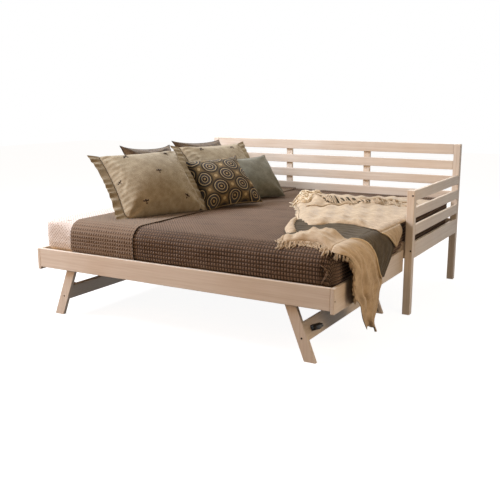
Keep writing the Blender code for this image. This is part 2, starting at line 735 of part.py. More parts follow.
def make_pillow(shape, laid):
    """Stands a pillow on the bed with its lean, then slides it to the foot until it clears the rest."""
    mesh = mesh_from(shape.name, pillow_cage(shape.width, shape.height, shape.thickness))
    mesh.shade_smooth()
    yaw, lean, roll = (math.radians(a) for a in (shape.yaw, shape.lean, shape.roll))
    # In its own axes the pillow spans X, faces -Y and stands along Z. It is laid back, and turned to face +X.
    laid_back = Matrix.Rotation(-lean, 4, "X") @ Matrix.Rotation(-roll, 4, "Y")
    turn = Matrix.Rotation(yaw + math.pi / 2, 4, "Z") @ laid_back
    place = Vector((head + shape.from_head, daybed_front + shape.from_front, 0))
    obj = add_object(shape.name, mesh, shape.colour, place, turn)
    smooth = obj.modifiers.new("soft form", "SUBSURF")
    smooth.levels = 1
    smooth.render_levels = 1
    bpy.context.view_layer.update()
    points, faces = surface_tree(obj)
    lowest = min(points, key=lambda p: p.z)
    hem = head + BARE_HEAD + TURN_DOWN
    seat = turned_top if lowest.x < hem + PILLOW_EDGE else coverlet_top
    rise = Vector((0, 0, seat + SEAT - lowest.z))
    slide = Vector((math.cos(yaw), math.sin(yaw), 0))
    step = 0.002
    moved = 0.0
    while touches(points, faces, rise + slide * moved, laid):
        moved += step
    if moved:
        moved += SEAT
    obj.location = place + rise + slide * moved
    bpy.context.view_layer.update()
    points, faces = surface_tree(obj)
    laid.append(BVHTree.FromPolygons(points, faces))


# Throw
def smooth_step(value):
    value = np.clip(value, 0, 1)
    return value * value * (3 - 2 * value)


def fold_height(y):
    """Height of the throw's folds, which run along the bed and over its foot."""
    return THROW_FOLD * (0.5 - 0.5 * np.cos(2 * np.pi * (y - daybed_front) / THROW_FOLD_PITCH))


def sheet_mesh(name, lower, upper):
    """A closed cloth between two grids of points of one shape."""
    rows, columns = lower.shape[:2]

    def build(form):
        bmesh.ops.create_grid(form, x_segments=columns - 1, y_segments=rows - 1, size=1)
        made = bmesh.ops.extrude_face_region(form, geom=list(form.faces), use_keep_orig=True)
        raised = {v for v in made["geom"] if isinstance(v, bmesh.types.BMVert)}
        for vert in form.verts:
            column = round((vert.co.x + 1) / 2 * (columns - 1))
            row = round((vert.co.y + 1) / 2 * (rows - 1))
            vert.co = (upper if vert in raised else lower)[row, column]
        bmesh.ops.recalc_face_normals(form, faces=form.faces)

    mesh = mesh_from(name, build)
    mesh.shade_smooth()
    return mesh


def throw_reach(y):
    """How far the throw lies over the bed from the foot end, at each Y."""
    front = trundle_front + BOARD + side_room
    places = [front, daybed_front, daybed_front + THROW_BACK_REACH]
    return np.interp(y, places, [THROW_FRONT_LENGTH, THROW_MIDDLE_LENGTH, THROW_BACK_LENGTH])


def make_lying_throw(name, low_y, high_y, rows):
    """The part of the throw that lies on one mattress, with its folds."""
    columns = 12
    y = np.linspace(low_y, high_y, rows)[:, None] + np.zeros((1, columns))
    edge = fall_start - SEAT
    start = foot - throw_reach(y)
    across = np.linspace(0, 1, columns)[None, :]
    x = start + (edge - start) * across
    under = coverlet_top + SEAT + np.zeros_like(x)
    fade = smooth_step(across / FOLD_FADE)
    over = under + THROW + fold_height(y) * (FOLD_AT_EDGE + (1 - FOLD_AT_EDGE) * fade)
    lower = np.stack([x, y, under], axis=-1)
    upper = np.stack([x, y, over], axis=-1)
    add_object(name, sheet_mesh(name, lower, upper), "throw_cloth")


def make_throw_fall():
    """The part that turns over the foot end and hangs: a long panel and two shorter corners, in folds."""
    rows = 29
    y = np.linspace(daybed_front + FALL_FRONT, daybed_front + FALL_BACK, rows)[:, None]
    place = y - daybed_front
    ends = [FALL_LONG_END, FALL_LONG_END + FALL_SLANT, FALL_MIDDLE_END, FALL_MIDDLE_END + FALL_SLANT]
    drop = np.interp(place, ends, [FALL_LONG, FALL_MIDDLE, FALL_MIDDLE, FALL_SHORT])
    run = hang_x - THROW_TURN - fall_start
    quarter = THROW_TURN * np.pi / 2
    turn_share = np.linspace(0, 1, TURN_STEPS + 1)[None, :]
    fall_share = np.linspace(0, 1, FALL_STEPS + 1)[None, 1:]
    turn_steps = run + quarter * turn_share + np.zeros_like(y)
    fall_steps = run + quarter + drop * fall_share
    along = np.concatenate([np.zeros_like(y), turn_steps, fall_steps], axis=1)
    angle = np.clip((along - run) / THROW_TURN, 0, np.pi / 2)
    fall = np.clip(along - run - quarter, 0, None)
    fold = fold_height(y) * smooth_step((along - run) / (quarter + FALL_OPENING))
    top = coverlet_top + SEAT

    def surface(lift):
        radius = THROW_TURN + lift
        bulge = fold if lift else fold * FOLD_INSIDE
        x = fall_start + np.minimum(along, run) + radius * np.sin(angle) + bulge
        z = top - THROW_TURN + radius * np.cos(angle) - fall
        return np.stack([x, y + np.zeros_like(x), z], axis=-1)

    name = "throw_fall"
    add_object(name, sheet_mesh(name, surface(0.0), surface(THROW)), "throw_cloth")


def make_throw():
    front = trundle_front + BOARD + side_room + THROW_FRONT_MARGIN
    make_lying_throw("throw_trundle", front, seam - SEAT, 20)
    make_lying_throw("throw_daybed", seam + SEAT, daybed_front + THROW_BACK_REACH, 18)
    make_throw_fall()


def main():
    make_posts()
    make_back()
    make_arms()
    make_front_rail()
    make_trundle_frame()
    front_inner = front_rail_face + BOARD
    trundle_inner = trundle_front + BOARD
    make_deck("daybed_slat_deck", front_inner, back_face, between_posts - 2 * SEAT)
    make_deck("trundle_slat_deck", trundle_inner, trundle_back - BOARD, inner_length - 2 * SEAT)
    make_mattress("daybed_mattress", front_inner)
    make_mattress("trundle_mattress", trundle_inner)
    make_coverlet("daybed_coverlet", front_inner, -1)
    make_coverlet("trundle_coverlet", trundle_inner, 1)
    for side, sign in (("left", -1), ("right", 1)):
        make_stop(side, sign)
        make_leg_frame(side, sign)
    laid = []
    for shape in PILLOWS:
        make_pillow(shape, laid)
    make_throw()
    bpy.data.collections.remove(helpers)


for old in list(bpy.data.objects):
    bpy.data.objects.remove(old)
parts = new_collection("trundle_daybed")
helpers = new_collection("helpers")
materials = {name: make_material(name) for name in COLOURS}
main()
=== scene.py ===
"""Looks of the trundle daybed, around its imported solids. Metres, +Z up, head end at -X, trundle at -Y."""

import bmesh
import bpy
import numpy as np
from mathutils import Euler, Matrix, Vector


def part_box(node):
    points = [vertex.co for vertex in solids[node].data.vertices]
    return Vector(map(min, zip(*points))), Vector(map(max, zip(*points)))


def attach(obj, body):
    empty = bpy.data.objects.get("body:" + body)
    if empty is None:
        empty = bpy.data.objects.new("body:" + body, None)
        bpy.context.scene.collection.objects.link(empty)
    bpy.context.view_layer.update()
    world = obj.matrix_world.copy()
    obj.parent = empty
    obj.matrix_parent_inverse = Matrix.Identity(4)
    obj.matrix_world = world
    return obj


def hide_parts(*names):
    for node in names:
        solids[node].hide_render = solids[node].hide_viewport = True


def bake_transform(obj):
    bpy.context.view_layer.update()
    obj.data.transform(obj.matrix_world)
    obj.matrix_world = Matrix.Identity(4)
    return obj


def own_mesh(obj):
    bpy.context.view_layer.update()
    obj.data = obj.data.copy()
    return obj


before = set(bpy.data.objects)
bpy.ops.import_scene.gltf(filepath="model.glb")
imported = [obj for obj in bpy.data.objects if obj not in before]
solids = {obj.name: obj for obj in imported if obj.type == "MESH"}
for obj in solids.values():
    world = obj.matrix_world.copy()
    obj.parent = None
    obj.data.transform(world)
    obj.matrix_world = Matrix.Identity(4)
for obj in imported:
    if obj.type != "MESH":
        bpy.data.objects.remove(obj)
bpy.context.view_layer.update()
chance = np.random.default_rng(7)
SIDES = (("left", -1), ("right", 1))
ENDS = (("front", -1), ("back", 1))

# The camera stands at the fitted place, with the picture's middle on its axis
CAMERA_PLACE = (2.2535, -4.0949, 1.2741)
CAMERA_PITCH, CAMERA_YAW = 11.8268, 29.8314
CAMERA_LENS, CAMERA_SENSOR = 51.49, 36.0

camera_data = bpy.data.cameras.new("camera")
camera_data.lens = CAMERA_LENS
camera_data.sensor_width = CAMERA_SENSOR
camera = bpy.data.objects.new("camera", camera_data)
camera.location = CAMERA_PLACE
camera.rotation_euler = Euler(np.radians((90 - CAMERA_PITCH, 0, CAMERA_YAW)))
bpy.context.scene.collection.objects.link(camera)
bpy.context.scene.camera = camera


# Helpers for colours and nodes

def linear(code):
    """An sRGB hex colour as linear red, green, blue and alpha."""
    shown = np.array([int(code[i:i + 2], 16) for i in (1, 3, 5)]) / 255
    bent = np.where(shown <= 0.04045, shown / 12.92, ((shown + 0.055) / 1.055) ** 2.4)
    return (*bent.tolist(), 1.0)


def put(tree, node, inputs):
    """Sets a node's sockets: another node's output is linked, anything else is the socket's own value."""
    for key, value in inputs.items():
        if isinstance(value, bpy.types.NodeSocket):
            tree.links.new(value, node.inputs[key])
        else:
            node.inputs[key].default_value = value


def add(tree, kind, inputs=None, stops=(), out=0, **settings):
    """Adds a node and gives one of its outputs: settings are its properties, inputs its sockets, stops the
    positions and colours of a colour ramp."""
    made = tree.nodes.new("ShaderNode" + kind)
    for key, value in settings.items():
        setattr(made, key, value)
    put(tree, made, inputs or {})
    for index, (position, colour) in enumerate(stops):
        ramp = made.color_ramp.elements
        stop = ramp[index] if index < 2 else ramp.new(position)
        stop.position = position
        stop.color = linear(colour)
    return made.outputs[out] if made.outputs else None


def blank(name):
    """A new material with its node tree and its principled shader."""
    material = bpy.data.materials.new(name)
    material.use_nodes = True
    return material, material.node_tree, material.node_tree.nodes["Principled BSDF"]


# Helpers for meshes

def patch(points, uv=None, wrap=False, material=0):
    """A grid of points, rows by columns, as a flat list of points with its quads. Seen from outside,
    columns run to the right and rows upward. wrap joins the last column to the first."""
    rows, columns = points.shape[:2]
    row, column = np.meshgrid(np.arange(rows - 1), np.arange(columns if wrap else columns - 1), indexing="ij")
    after = (column + 1) % columns
    corners = (row * columns + column, row * columns + after,
               (row + 1) * columns + after, (row + 1) * columns + column)
    quads = np.stack([corner.ravel() for corner in corners], axis=1)
    if uv is None:
        uv = np.zeros((rows, columns, 2))
    return {"points": points.reshape(-1, 3), "quads": quads, "uv": uv.reshape(-1, 2), "material": material}


def link_mesh(name, points, quads, uv):
    """An object of these points and quads, smooth shaded, with a UV map from one pair of coordinates a
    point."""
    mesh = bpy.data.meshes.new(name)
    mesh.from_pydata(points.tolist(), [], quads.tolist())
    cloth_map = mesh.uv_layers.new(name="cloth")
    cloth_map.data.foreach_set("uv", uv[quads.ravel()].ravel())
    mesh.polygons.foreach_set("use_smooth", np.ones(len(quads), bool))
    made = bpy.data.objects.new(name, mesh)
    bpy.context.scene.collection.objects.link(made)
    return made


def piece(name, patches, materials, body=None, weld=False):
    """One object from several patches: their points and quads one after the other, each quad with its
    patch's material, and the patches' own coordinates as a UV map. weld merges points that coincide."""
    starts = np.cumsum([0] + [len(part["points"]) for part in patches])
    points = np.concatenate([part["points"] for part in patches])
    quads = np.concatenate([part["quads"] + start for part, start in zip(patches, starts)])
    owner = np.concatenate([np.full(len(part["quads"]), part["material"]) for part in patches])
    made = link_mesh(name, points, quads, np.concatenate([part["uv"] for part in patches]))
    made.data.polygons.foreach_set("material_index", owner.astype(np.int32))
    for material in materials:
        made.data.materials.append(material)
    if weld:
        merge(made.data)
    if body:
        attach(made, body)
    return made


def merge(mesh, distance=1e-6):
    """Merges the points of a mesh that coincide, which closes seams and poles."""
    work = bmesh.new()
    work.from_mesh(mesh)
    bmesh.ops.remove_doubles(work, verts=work.verts, dist=distance)
    work.to_mesh(mesh)
    work.free()


def modifier(made, kind, **settings):
    """Adds a modifier with its settings."""
    added = made.modifiers.new(kind.lower(), kind)
    for key, value in settings.items():
        setattr(added, key, value)
    return added


def ease(x):
    """Smooth step from 0 to 1."""
    x = np.clip(x, 0, 1)
    return x * x * (3 - 2 * x)


def ripple(x, y, waves, longest, shortest):
    """A sum of plane waves of random direction, length and phase, about -1 to 1: soft unevenness of
    cloth."""
    total = np.zeros(np.broadcast(x, y).shape)
    for length in np.geomspace(longest, shortest, waves):
        angle, phase = chance.uniform(0, 2 * np.pi, 2)
        ahead = x * np.cos(angle) + y * np.sin(angle)
        total += np.sin(2 * np.pi * ahead / length + phase) * length / longest
    return total / np.sqrt(waves)


def spline(knots, values, at):
    """A cubic through the values at the knots, with slopes from central differences."""
    knots, values = np.asarray(knots, float), np.asarray(values, float)
    slope = np.gradient(values, knots)
    i = np.clip(np.searchsorted(knots, at) - 1, 0, len(knots) - 2)
    gap = knots[i + 1] - knots[i]
    t = (at - knots[i]) / gap
    return ((1 + 2 * t) * (1 - t) ** 2 * values[i] + t * (1 - t) ** 2 * gap * slope[i]
            + t * t * (3 - 2 * t) * values[i + 1] + t * t * (t - 1) * gap * slope[i + 1])


def normals(points):
    """Unit normals of a grid, from the cross product of its differences along columns and rows."""
    across = np.gradient(points, axis=1)
    up = np.gradient(points, axis=0)
    normal = np.cross(across, up)
    return normal / np.maximum(np.linalg.norm(normal, axis=-1, keepdims=True), 1e-12)


def tube(path, radius, sides=6, closed=False):
    """A round tube along a path: circles square to the path, radius a number or one for each point. An open
    tube closes to a point at its ends."""
    ahead = np.roll(path, -1, axis=0) - np.roll(path, 1, axis=0)
    if not closed:
        ahead[0] = path[1] - path[0]
        ahead[-1] = path[-1] - path[-2]
    ahead /= np.linalg.norm(ahead, axis=1, keepdims=True)
    spare = np.where(np.abs(ahead[:, 2:3]) > 0.9, (1.0, 0, 0), (0, 0, 1.0))
    side = np.cross(ahead, spare)
    side /= np.linalg.norm(side, axis=1, keepdims=True)
    up = np.cross(ahead, side)
    turn = np.linspace(0, 2 * np.pi, sides, endpoint=False)
    reach = np.broadcast_to(radius, len(path))[:, None, None].copy()
    if not closed:
        reach[[0, -1]] = 0
    ring = np.cos(turn)[None, :, None] * side[:, None] + np.sin(turn)[None, :, None] * up[:, None]
    grid = path[:, None] + reach * ring
    if closed:
        grid = np.concatenate([grid, grid[:1]])
    return grid


def revolved(profile, place, axis, sides=20):
    """A profile of (radius, height) pairs turned about an axis through a place."""
    upright = np.array(Vector(axis).normalized().to_track_quat("Z", "Y").to_matrix())
    radius, height = np.array(profile).T
    turn = np.linspace(0, 2 * np.pi, sides, endpoint=False)
    local = np.stack(np.broadcast_arrays(radius[:, None] * np.cos(turn), radius[:, None] * np.sin(turn),
                                         height[:, None]), axis=-1)
    return local @ upright.T + np.array(place)


# Painted pine: boards planed smooth under thin satin paint, so the eye gets a warm pale colour with long
# faint streaks of grain and a soft sheen. Grain lines are about 9 mm apart, pores about 2 mm, drawn coarse
# to show
GRAIN_ACROSS, GRAIN_ALONG = 1 / 0.009, 1 / 0.35
PORE_ACROSS, PORE_ALONG = 1 / 0.002, 1 / 0.06
CLOUDS = 3.0


def stretched(across, along, grain):
    """A scale for the three axes, which draws a pattern out along the grain."""
    scale = [across] * 3
    scale[grain] = along
    return scale


def painted_pine(name, grain):
    material, tree, shader = blank(name)
    place = add(tree, "TexCoord", out="Object")
    lines = add(tree, "Mapping", {"Vector": place, "Scale": stretched(GRAIN_ACROSS, GRAIN_ALONG, grain)})
    figure = add(tree, "TexNoise", {"Vector": lines, "Scale": 1.0, "Detail": 5.0, "Roughness": 0.6})
    dashes = add(tree, "Mapping", {"Vector": place, "Scale": stretched(PORE_ACROSS, PORE_ALONG, grain)})
    pores = add(tree, "TexNoise", {"Vector": dashes, "Scale": 1.0, "Detail": 2.0})
    clouds = add(tree, "TexNoise", {"Vector": place, "Scale": CLOUDS, "Detail": 2.0})
    paint = add(tree, "ValToRGB", {"Fac": figure}, [(0.3, "#D8CBBB"), (0.5, "#E2D8CA"), (0.72, "#EAE1D5")])
    tone = add(tree, "ValToRGB", {"Fac": clouds}, [(0.3, "#F2EAE2"), (0.7, "#FFFFFF")])
    colour = add(tree, "MixRGB", {"Fac": 0.8, "Color1": paint, "Color2": tone}, blend_type="MULTIPLY")
    deep = add(tree, "Math", {0: figure, 1: pores}, operation="ADD")
    relief = add(tree, "Bump", {"Height": deep, "Strength": 0.12, "Distance": 0.0006})
    put(tree, shader, {"Base Color": colour, "Normal": relief, "Roughness": 0.46, "IOR": 1.5,
                       "Coat Weight": 0.08, "Coat Roughness": 0.3})
    return material


# Bare pine: sawn slats and bearers, yellow with clear grain and no gloss
def bare_pine(name, grain):
    material, tree, shader = blank(name)
    place = add(tree, "TexCoord", out="Object")
    lines = add(tree, "Mapping", {"Vector": place, "Scale": stretched(GRAIN_ACROSS, GRAIN_ALONG, grain)})
    figure = add(tree, "TexNoise", {"Vector": lines, "Scale": 1.0, "Detail": 6.0, "Roughness": 0.7})
    wood = add(tree, "ValToRGB", {"Fac": figure}, [(0.3, "#BF9465"), (0.55, "#DFBF93"), (0.75, "#ECD3AC")])
    relief = add(tree, "Bump", {"Height": figure, "Strength": 0.25, "Distance": 0.0008})
    put(tree, shader, {"Base Color": wood, "Normal": relief, "Roughness": 0.72, "IOR": 1.5})
    return material


# Moulded nylon of the casters: near black, faintly pebbled, dull sheen. Grit about 1.5 mm, drawn coarse to
# show, scuffs about 20 mm
NYLON_GRIT, NYLON_SCUFF = 1 / 0.0015, 1 / 0.02


def moulded_nylon(name, colour):
    material, tree, shader = blank(name)
    place = add(tree, "TexCoord", out="Object")
    grit = add(tree, "TexNoise", {"Vector": place, "Scale": NYLON_GRIT, "Detail": 2.0})
    gloss = add(tree, "MapRange", {"Value": grit, "To Min": 0.36, "To Max": 0.55})
    scuff = add(tree, "TexNoise", {"Vector": place, "Scale": NYLON_SCUFF, "Detail": 3.0})
    shade = add(tree, "ValToRGB", {"Fac": scuff}, [(0.35, colour), (0.8, "#2C2A28")])
    relief = add(tree, "Bump", {"Height": grit, "Strength": 0.2, "Distance": 0.0003})
    put(tree, shader, {"Base Color": shade, "Roughness": gloss, "Normal": relief, "IOR": 1.53})
    return material


# Zinc plate on turned steel: metal with cloudy spangle about 4 mm across, grey, or near black on the bolt
# heads
SPANGLE = 1 / 0.004


def zinc_plate(name, dark, light):
    material, tree, shader = blank(name)
    place = add(tree, "TexCoord", out="Object")
    spangle = add(tree, "TexNoise", {"Vector": place, "Scale": SPANGLE, "Detail": 2.0})
    shade = add(tree, "ValToRGB", {"Fac": spangle}, [(0.3, dark), (0.7, light)])
    gloss = add(tree, "MapRange", {"Value": spangle, "To Min": 0.3, "To Max": 0.5})
    put(tree, shader, {"Base Color": shade, "Roughness": gloss, "Metallic": 1.0})
    return material


# Woven cloth: threads cross every THREAD metres, drawn coarse to show, over soft blotches about 50 mm
# across, which are wear and, on the brown satin, painted satin highlights; with a fuzzy sheen
THREAD, WOOL_THREAD = 0.0024, 0.0036
BLOTCH = 1 / 0.05


def wave_scale(pitch):
    """Scale of a wave texture whose bands repeat every pitch."""
    return np.pi / pitch / 10


def woven_cloth(name, dark, base, light, fuzz=0.25, relief=0.35, thread=THREAD, gloss=0.85):
    material, tree, shader = blank(name)
    flat = add(tree, "UVMap", uv_map="cloth")
    threads = {"Vector": flat, "Scale": wave_scale(thread), "Distortion": 0.6, "Detail": 1.0,
               "Detail Scale": 3.0}
    warp, weft = (add(tree, "TexWave", threads, out="Fac", bands_direction=way) for way in "XY")
    weave = add(tree, "Math", {0: warp, 1: weft}, operation="MAXIMUM")
    wear_and_sheen_blotch = add(tree, "TexNoise", {"Vector": flat, "Scale": BLOTCH, "Detail": 4.0, "Roughness": 0.65})
    mixed = add(tree, "Math", {0: weave, 1: 0.35, 2: wear_and_sheen_blotch}, operation="MULTIPLY_ADD")
    shade = add(tree, "ValToRGB", {"Fac": mixed}, [(0.35, dark), (0.7, base), (1.0, light)])
    bump = add(tree, "Bump", {"Height": weave, "Strength": relief, "Distance": 0.0008})
    put(tree, shader, {"Base Color": shade, "Normal": bump, "Roughness": gloss, "Specular IOR Level": 0.15,
                       "Sheen Weight": fuzz, "Sheen Roughness": 0.45})
    return material


# Quilted cotton of the coverlet: puffs of plain weave between stitched lines, a PUFF_ALONG by PUFF_ACROSS
# grid in metres. On its face the colour paints shade into the sunken lines and a highlight on the puffs; on
# its back it paints a highlight on the raised lines. Yarn about 4 mm, drawn coarse to show, worn patches
# about 160 mm
PUFF_ALONG, PUFF_ACROSS = 0.0172, 0.0205
YARN, WORN = 1 / 0.004, 1 / 0.16


def quilted_cotton(name, dark, base, light, puffs):
    material, tree, shader = blank(name)
    flat = add(tree, "UVMap", uv_map="cloth")
    stitches = {"Vector": flat, "Distortion": 0.25, "Detail": 1.0, "Detail Scale": 2.0}
    along, across = (add(tree, "TexWave", {**stitches, "Scale": wave_scale(pitch)}, out="Fac",
                         bands_direction=way)
                     for way, pitch in (("X", PUFF_ALONG), ("Y", PUFF_ACROSS)))
    squares = add(tree, "Math", {0: along, 1: across}, operation="MINIMUM")
    half = 0.5 * puffs
    # Painted light: the puffs' height also sets the colour, lighter where raised and darker (painted shade)
    # in the sunken lines
    relief_and_painted_light = add(tree, "MapRange", {"Value": squares, "To Min": 0.5 - half, "To Max": 0.5 + half})
    grain = add(tree, "TexNoise", {"Vector": flat, "Scale": YARN, "Detail": 3.0})
    worn = add(tree, "TexNoise", {"Vector": flat, "Scale": WORN, "Detail": 3.0})
    mixed = add(tree, "Math", {0: relief_and_painted_light, 1: 0.62, 2: 0.0}, operation="MULTIPLY_ADD")
    grained = add(tree, "Math", {0: grain, 1: 0.28, 2: mixed}, operation="MULTIPLY_ADD")
    uneven = add(tree, "Math", {0: worn, 1: 0.2, 2: grained}, operation="MULTIPLY_ADD")
    shade = add(tree, "ValToRGB", {"Fac": uneven}, [(0.26, dark), (0.38, base), (0.54, light)])
    deep = add(tree, "Math", {0: grain, 1: 0.2, 2: relief_and_painted_light}, operation="MULTIPLY_ADD")
    bump = add(tree, "Bump", {"Height": deep, "Strength": 0.9, "Distance": 0.004})
    put(tree, shader, {"Base Color": shade, "Normal": bump, "Roughness": 0.82, "Specular IOR Level": 0.15,
                       "Sheen Weight": 0.15, "Sheen Roughness": 0.4})
    return material


# Knitted ticking of the mattresses: white cloth with a fine mottled grey brown figure of small diamonds,
# TICK_PITCH metres apart, speckled about every 6 mm, in loops of about 3 mm
TICK_PITCH, LOOP_PITCH = 0.014, 0.003
SPECKLE = 1 / 0.006


def knitted_ticking(name):
    material, tree, shader = blank(name)
    flat = add(tree, "UVMap", uv_map="cloth")
    turned = add(tree, "Mapping", {"Vector": flat, "Rotation": (0, 0, np.pi / 4)})
    lattice = {"Vector": turned, "Scale": wave_scale(TICK_PITCH), "Distortion": 1.2, "Detail": 2.0}
    rising, falling = (add(tree, "TexWave", lattice, out="Fac", bands_direction=way) for way in "XY")
    diamonds = add(tree, "Math", {0: rising, 1: falling}, operation="MULTIPLY")
    speckle = add(tree, "TexNoise", {"Vector": flat, "Scale": SPECKLE, "Detail": 4.0, "Roughness": 0.7})
    mixed = add(tree, "Math", {0: diamonds, 1: 0.35, 2: speckle}, operation="MULTIPLY_ADD")
    shade = add(tree, "ValToRGB", {"Fac": mixed}, [(0.42, "#EAE4DD"), (0.62, "#DACFC6"), (0.85, "#A39284")])
    loops = add(tree, "TexWave", {"Vector": flat, "Scale": wave_scale(LOOP_PITCH), "Distortion": 0.5},
                out="Fac", bands_direction="DIAGONAL")
    bump = add(tree, "Bump", {"Height": loops, "Strength": 0.2, "Distance": 0.0006})
    put(tree, shader, {"Base Color": shade, "Normal": bump, "Roughness": 0.8, "Specular IOR Level": 0.15,
                       "Sheen Weight": 0.1, "Sheen Roughness": 0.5})
    return material


# Jacquard of the patterned pillow: ring medallions on a diagonal lattice with dots between, woven in dark,
# grey, cream and tan yarns. Medallions repeat every 120 mm, and their outlines waver by about 3 mm
MEDALLION_PITCH = 0.120
WAVER, WAVER_PITCH = 0.003, 0.012


def jacquard(name):
    material, tree, shader = blank(name)
    flat = add(tree, "UVMap", uv_map="cloth")
    wobble = add(tree, "TexNoise", {"Vector": flat, "Scale": 1 / WAVER_PITCH, "Detail": 1.0}, out="Color")
    loose = add(tree, "VectorMath", {0: wobble, "Scale": WAVER}, operation="SCALE")
    shaken = add(tree, "VectorMath", {0: flat, 1: loose}, operation="ADD")
    lattice = {"Vector": shaken, "Rotation": (0, 0, np.pi / 4), "Scale": (1 / MEDALLION_PITCH,) * 3}
    ring, dot = (add(tree, "TexVoronoi", {"Vector": add(tree, "Mapping", {**lattice, "Location": shift}),
                                          "Scale": 1.0, "Randomness": 0.0}, voronoi_dimensions="2D")
                 for shift in ((0, 0, 0), (0.5, 0.5, 0)))
    rings = add(tree, "ValToRGB", {"Fac": ring},
                [(0.0, "#AA9269"), (0.07, "#292421"), (0.17, "#C6B288"), (0.205, "#413E3C"),
                 (0.34, "#C6B288"), (0.38, "#292421"), (0.46, "#594C32"), (0.52, "#816D4C")])
    spots = add(tree, "ValToRGB", {"Fac": dot}, [(0.0, "#FFFFFF"), (0.09, "#000000")])
    for ramp in (rings, spots):
        ramp.node.color_ramp.interpolation = "CONSTANT"
    design = add(tree, "MixRGB", {"Fac": spots, "Color1": rings, "Color2": linear("#BEAA81")})
    threads = {"Vector": flat, "Scale": wave_scale(THREAD), "Distortion": 0.4}
    warp, weft = (add(tree, "TexWave", threads, out="Fac", bands_direction=way) for way in "XY")
    weave = add(tree, "Math", {0: warp, 1: weft}, operation="MAXIMUM")
    shade = add(tree, "MapRange", {"Value": weave, "To Min": 0.72, "To Max": 1.0})
    woven = add(tree, "MixRGB", {"Fac": 1.0, "Color1": design, "Color2": shade}, blend_type="MULTIPLY")
    bump = add(tree, "Bump", {"Height": weave, "Strength": 0.3, "Distance": 0.0008})
    put(tree, shader, {"Base Color": woven, "Normal": bump, "Roughness": 0.8, "Specular IOR Level": 0.15,
                       "Sheen Weight": 0.1, "Sheen Roughness": 0.5})
    return material


ALONG, ACROSS, UPRIGHT = 0, 1, 2
paint_along = painted_pine("painted_pine_along", ALONG)
paint_across = painted_pine("painted_pine_across", ACROSS)
paint_upright = painted_pine("painted_pine_upright", UPRIGHT)
deck_pine = bare_pine("bare_pine", ACROSS)
black_nylon = moulded_nylon("black_nylon", "#141312")
zinc = zinc_plate("zinc_plate", "#7C7A77", "#A19E99")
black_zinc = zinc_plate("black_zinc_plate", "#241F1B", "#3B352E")
ticking = knitted_ticking("knitted_ticking")
coverlet_face = quilted_cotton("quilted_cotton_face", "#443830", "#6B5A4C", "#857161", 1)
coverlet_back = quilted_cotton("quilted_cotton_back", "#4A3B2F", "#625042", "#83705E", -1)
beige_linen = woven_cloth("beige_linen", "#7D7058", "#9D9179", "#B8AD94")
# The brown satin's pale colour, brought out by the blotches, is a painted satin highlight
brown_satin = woven_cloth("brown_satin", "#2D2118", "#4B3B2D", "#7C684C", fuzz=0.05, relief=0.15, gloss=0.5)
grey_cotton = woven_cloth("grey_green_cotton", "#5A5A4F", "#757567", "#89897C")
cream_wool = woven_cloth("cream_wool", "#A28F77", "#C6B397", "#DDCEB5",
                         fuzz=0.3, relief=0.3, thread=WOOL_THREAD)
grey_wool = woven_cloth("grey_wool", "#362F23", "#4E4536", "#645A46",
                        fuzz=0.08, relief=0.3, thread=WOOL_THREAD)
# Paler wool: the bound edges' own colour, and on the fringe bunch and edge strands a lit copy of the cream
# that paints light over their shade
binding_and_lit_wool = woven_cloth("binding_and_lit_wool", "#D9C6A5", "#F0E1C5", "#FEF3DE", fuzz=0.2, relief=0.3)
medallion_jacquard = jacquard("medallion_jacquard")
thread_brown = woven_cloth("brown_thread", "#31271E", "#4B3B2C", "#614F3E")
# Seam cords of the shams: a darker beige that paints the shade in the groove along each seam
seam_cord_painted_shade = woven_cloth("seam_cord_painted_shade", "#4F4231", "#645540", "#73634C")

# Every solid that stays gets its finish by what it is and the way its grain runs
FINISHES = (
    (paint_along, ("back_slat", "back_rail", "front_rail", "trundle_front_board", "trundle_back_board")),
    (paint_across, ("arm_rail", "side_rail", "trundle_side_board", "left_stretcher", "right_stretcher")),
    (paint_upright, ("front_post", "back_post", "back_stile", "left_leg_front", "left_leg_back",
                     "right_leg_front", "right_leg_back")),
    (deck_pine, ("daybed_slat_deck", "trundle_slat_deck", "leg_stop")),
    (black_nylon, ("left_caster", "right_caster")),
    (zinc, ("left_pivot_bolt", "right_pivot_bolt")),
)
for material, starts in FINISHES:
    for name, solid in solids.items():
        if name.startswith(starts):
            solid.data.materials.clear()
            solid.data.materials.append(material)


# Bolt heads in the counterbores: a turned cap with a rounded rim and a sunk socket
BOLT_RADIUS, BOLT_SUNK = 0.0054, 0.0025
BOLT_PROFILE = ((0.0, -0.0030), (0.0022, -0.0030), (0.0026, -0.0004), (0.0040, 0.0), (0.0051, -0.0005),
                (BOLT_RADIUS, -0.0014), (BOLT_RADIUS, -0.0050), (0.0, -0.0050))
POST_HALF_BOARD = 0.0105
LEG_BOLT_RISE = 0.118
LEG_SPLAY = np.radians(21.5)


def middle(node):
    """The middle of a solid's box."""
    low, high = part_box(node)
    return (np.array(low) + np.array(high)) / 2


def bolts(name, body, places):
    """Bolt heads at places, each a point on the wood's face and the way that the face looks."""
    heads = [patch(revolved(BOLT_PROFILE[::-1], np.array(point) - BOLT_SUNK * np.array(way), way), wrap=True)
             for point, way in places]
    piece(name, heads, [black_zinc], body, weld=True)


daybed_bolts = []
for side, sign in SIDES:
    for end, way in ENDS:
        low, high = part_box(f"{end}_post_{side}")
        face = low.y if way < 0 else high.y
        x = (low.x if sign < 0 else high.x) - sign * POST_HALF_BOARD
        for rail in (f"arm_rail_{side}_1", f"side_rail_{side}"):
            daybed_bolts.append(((x, face, middle(rail)[2]), (0, way, 0)))
bolts("post_bolts", "daybed", daybed_bolts)

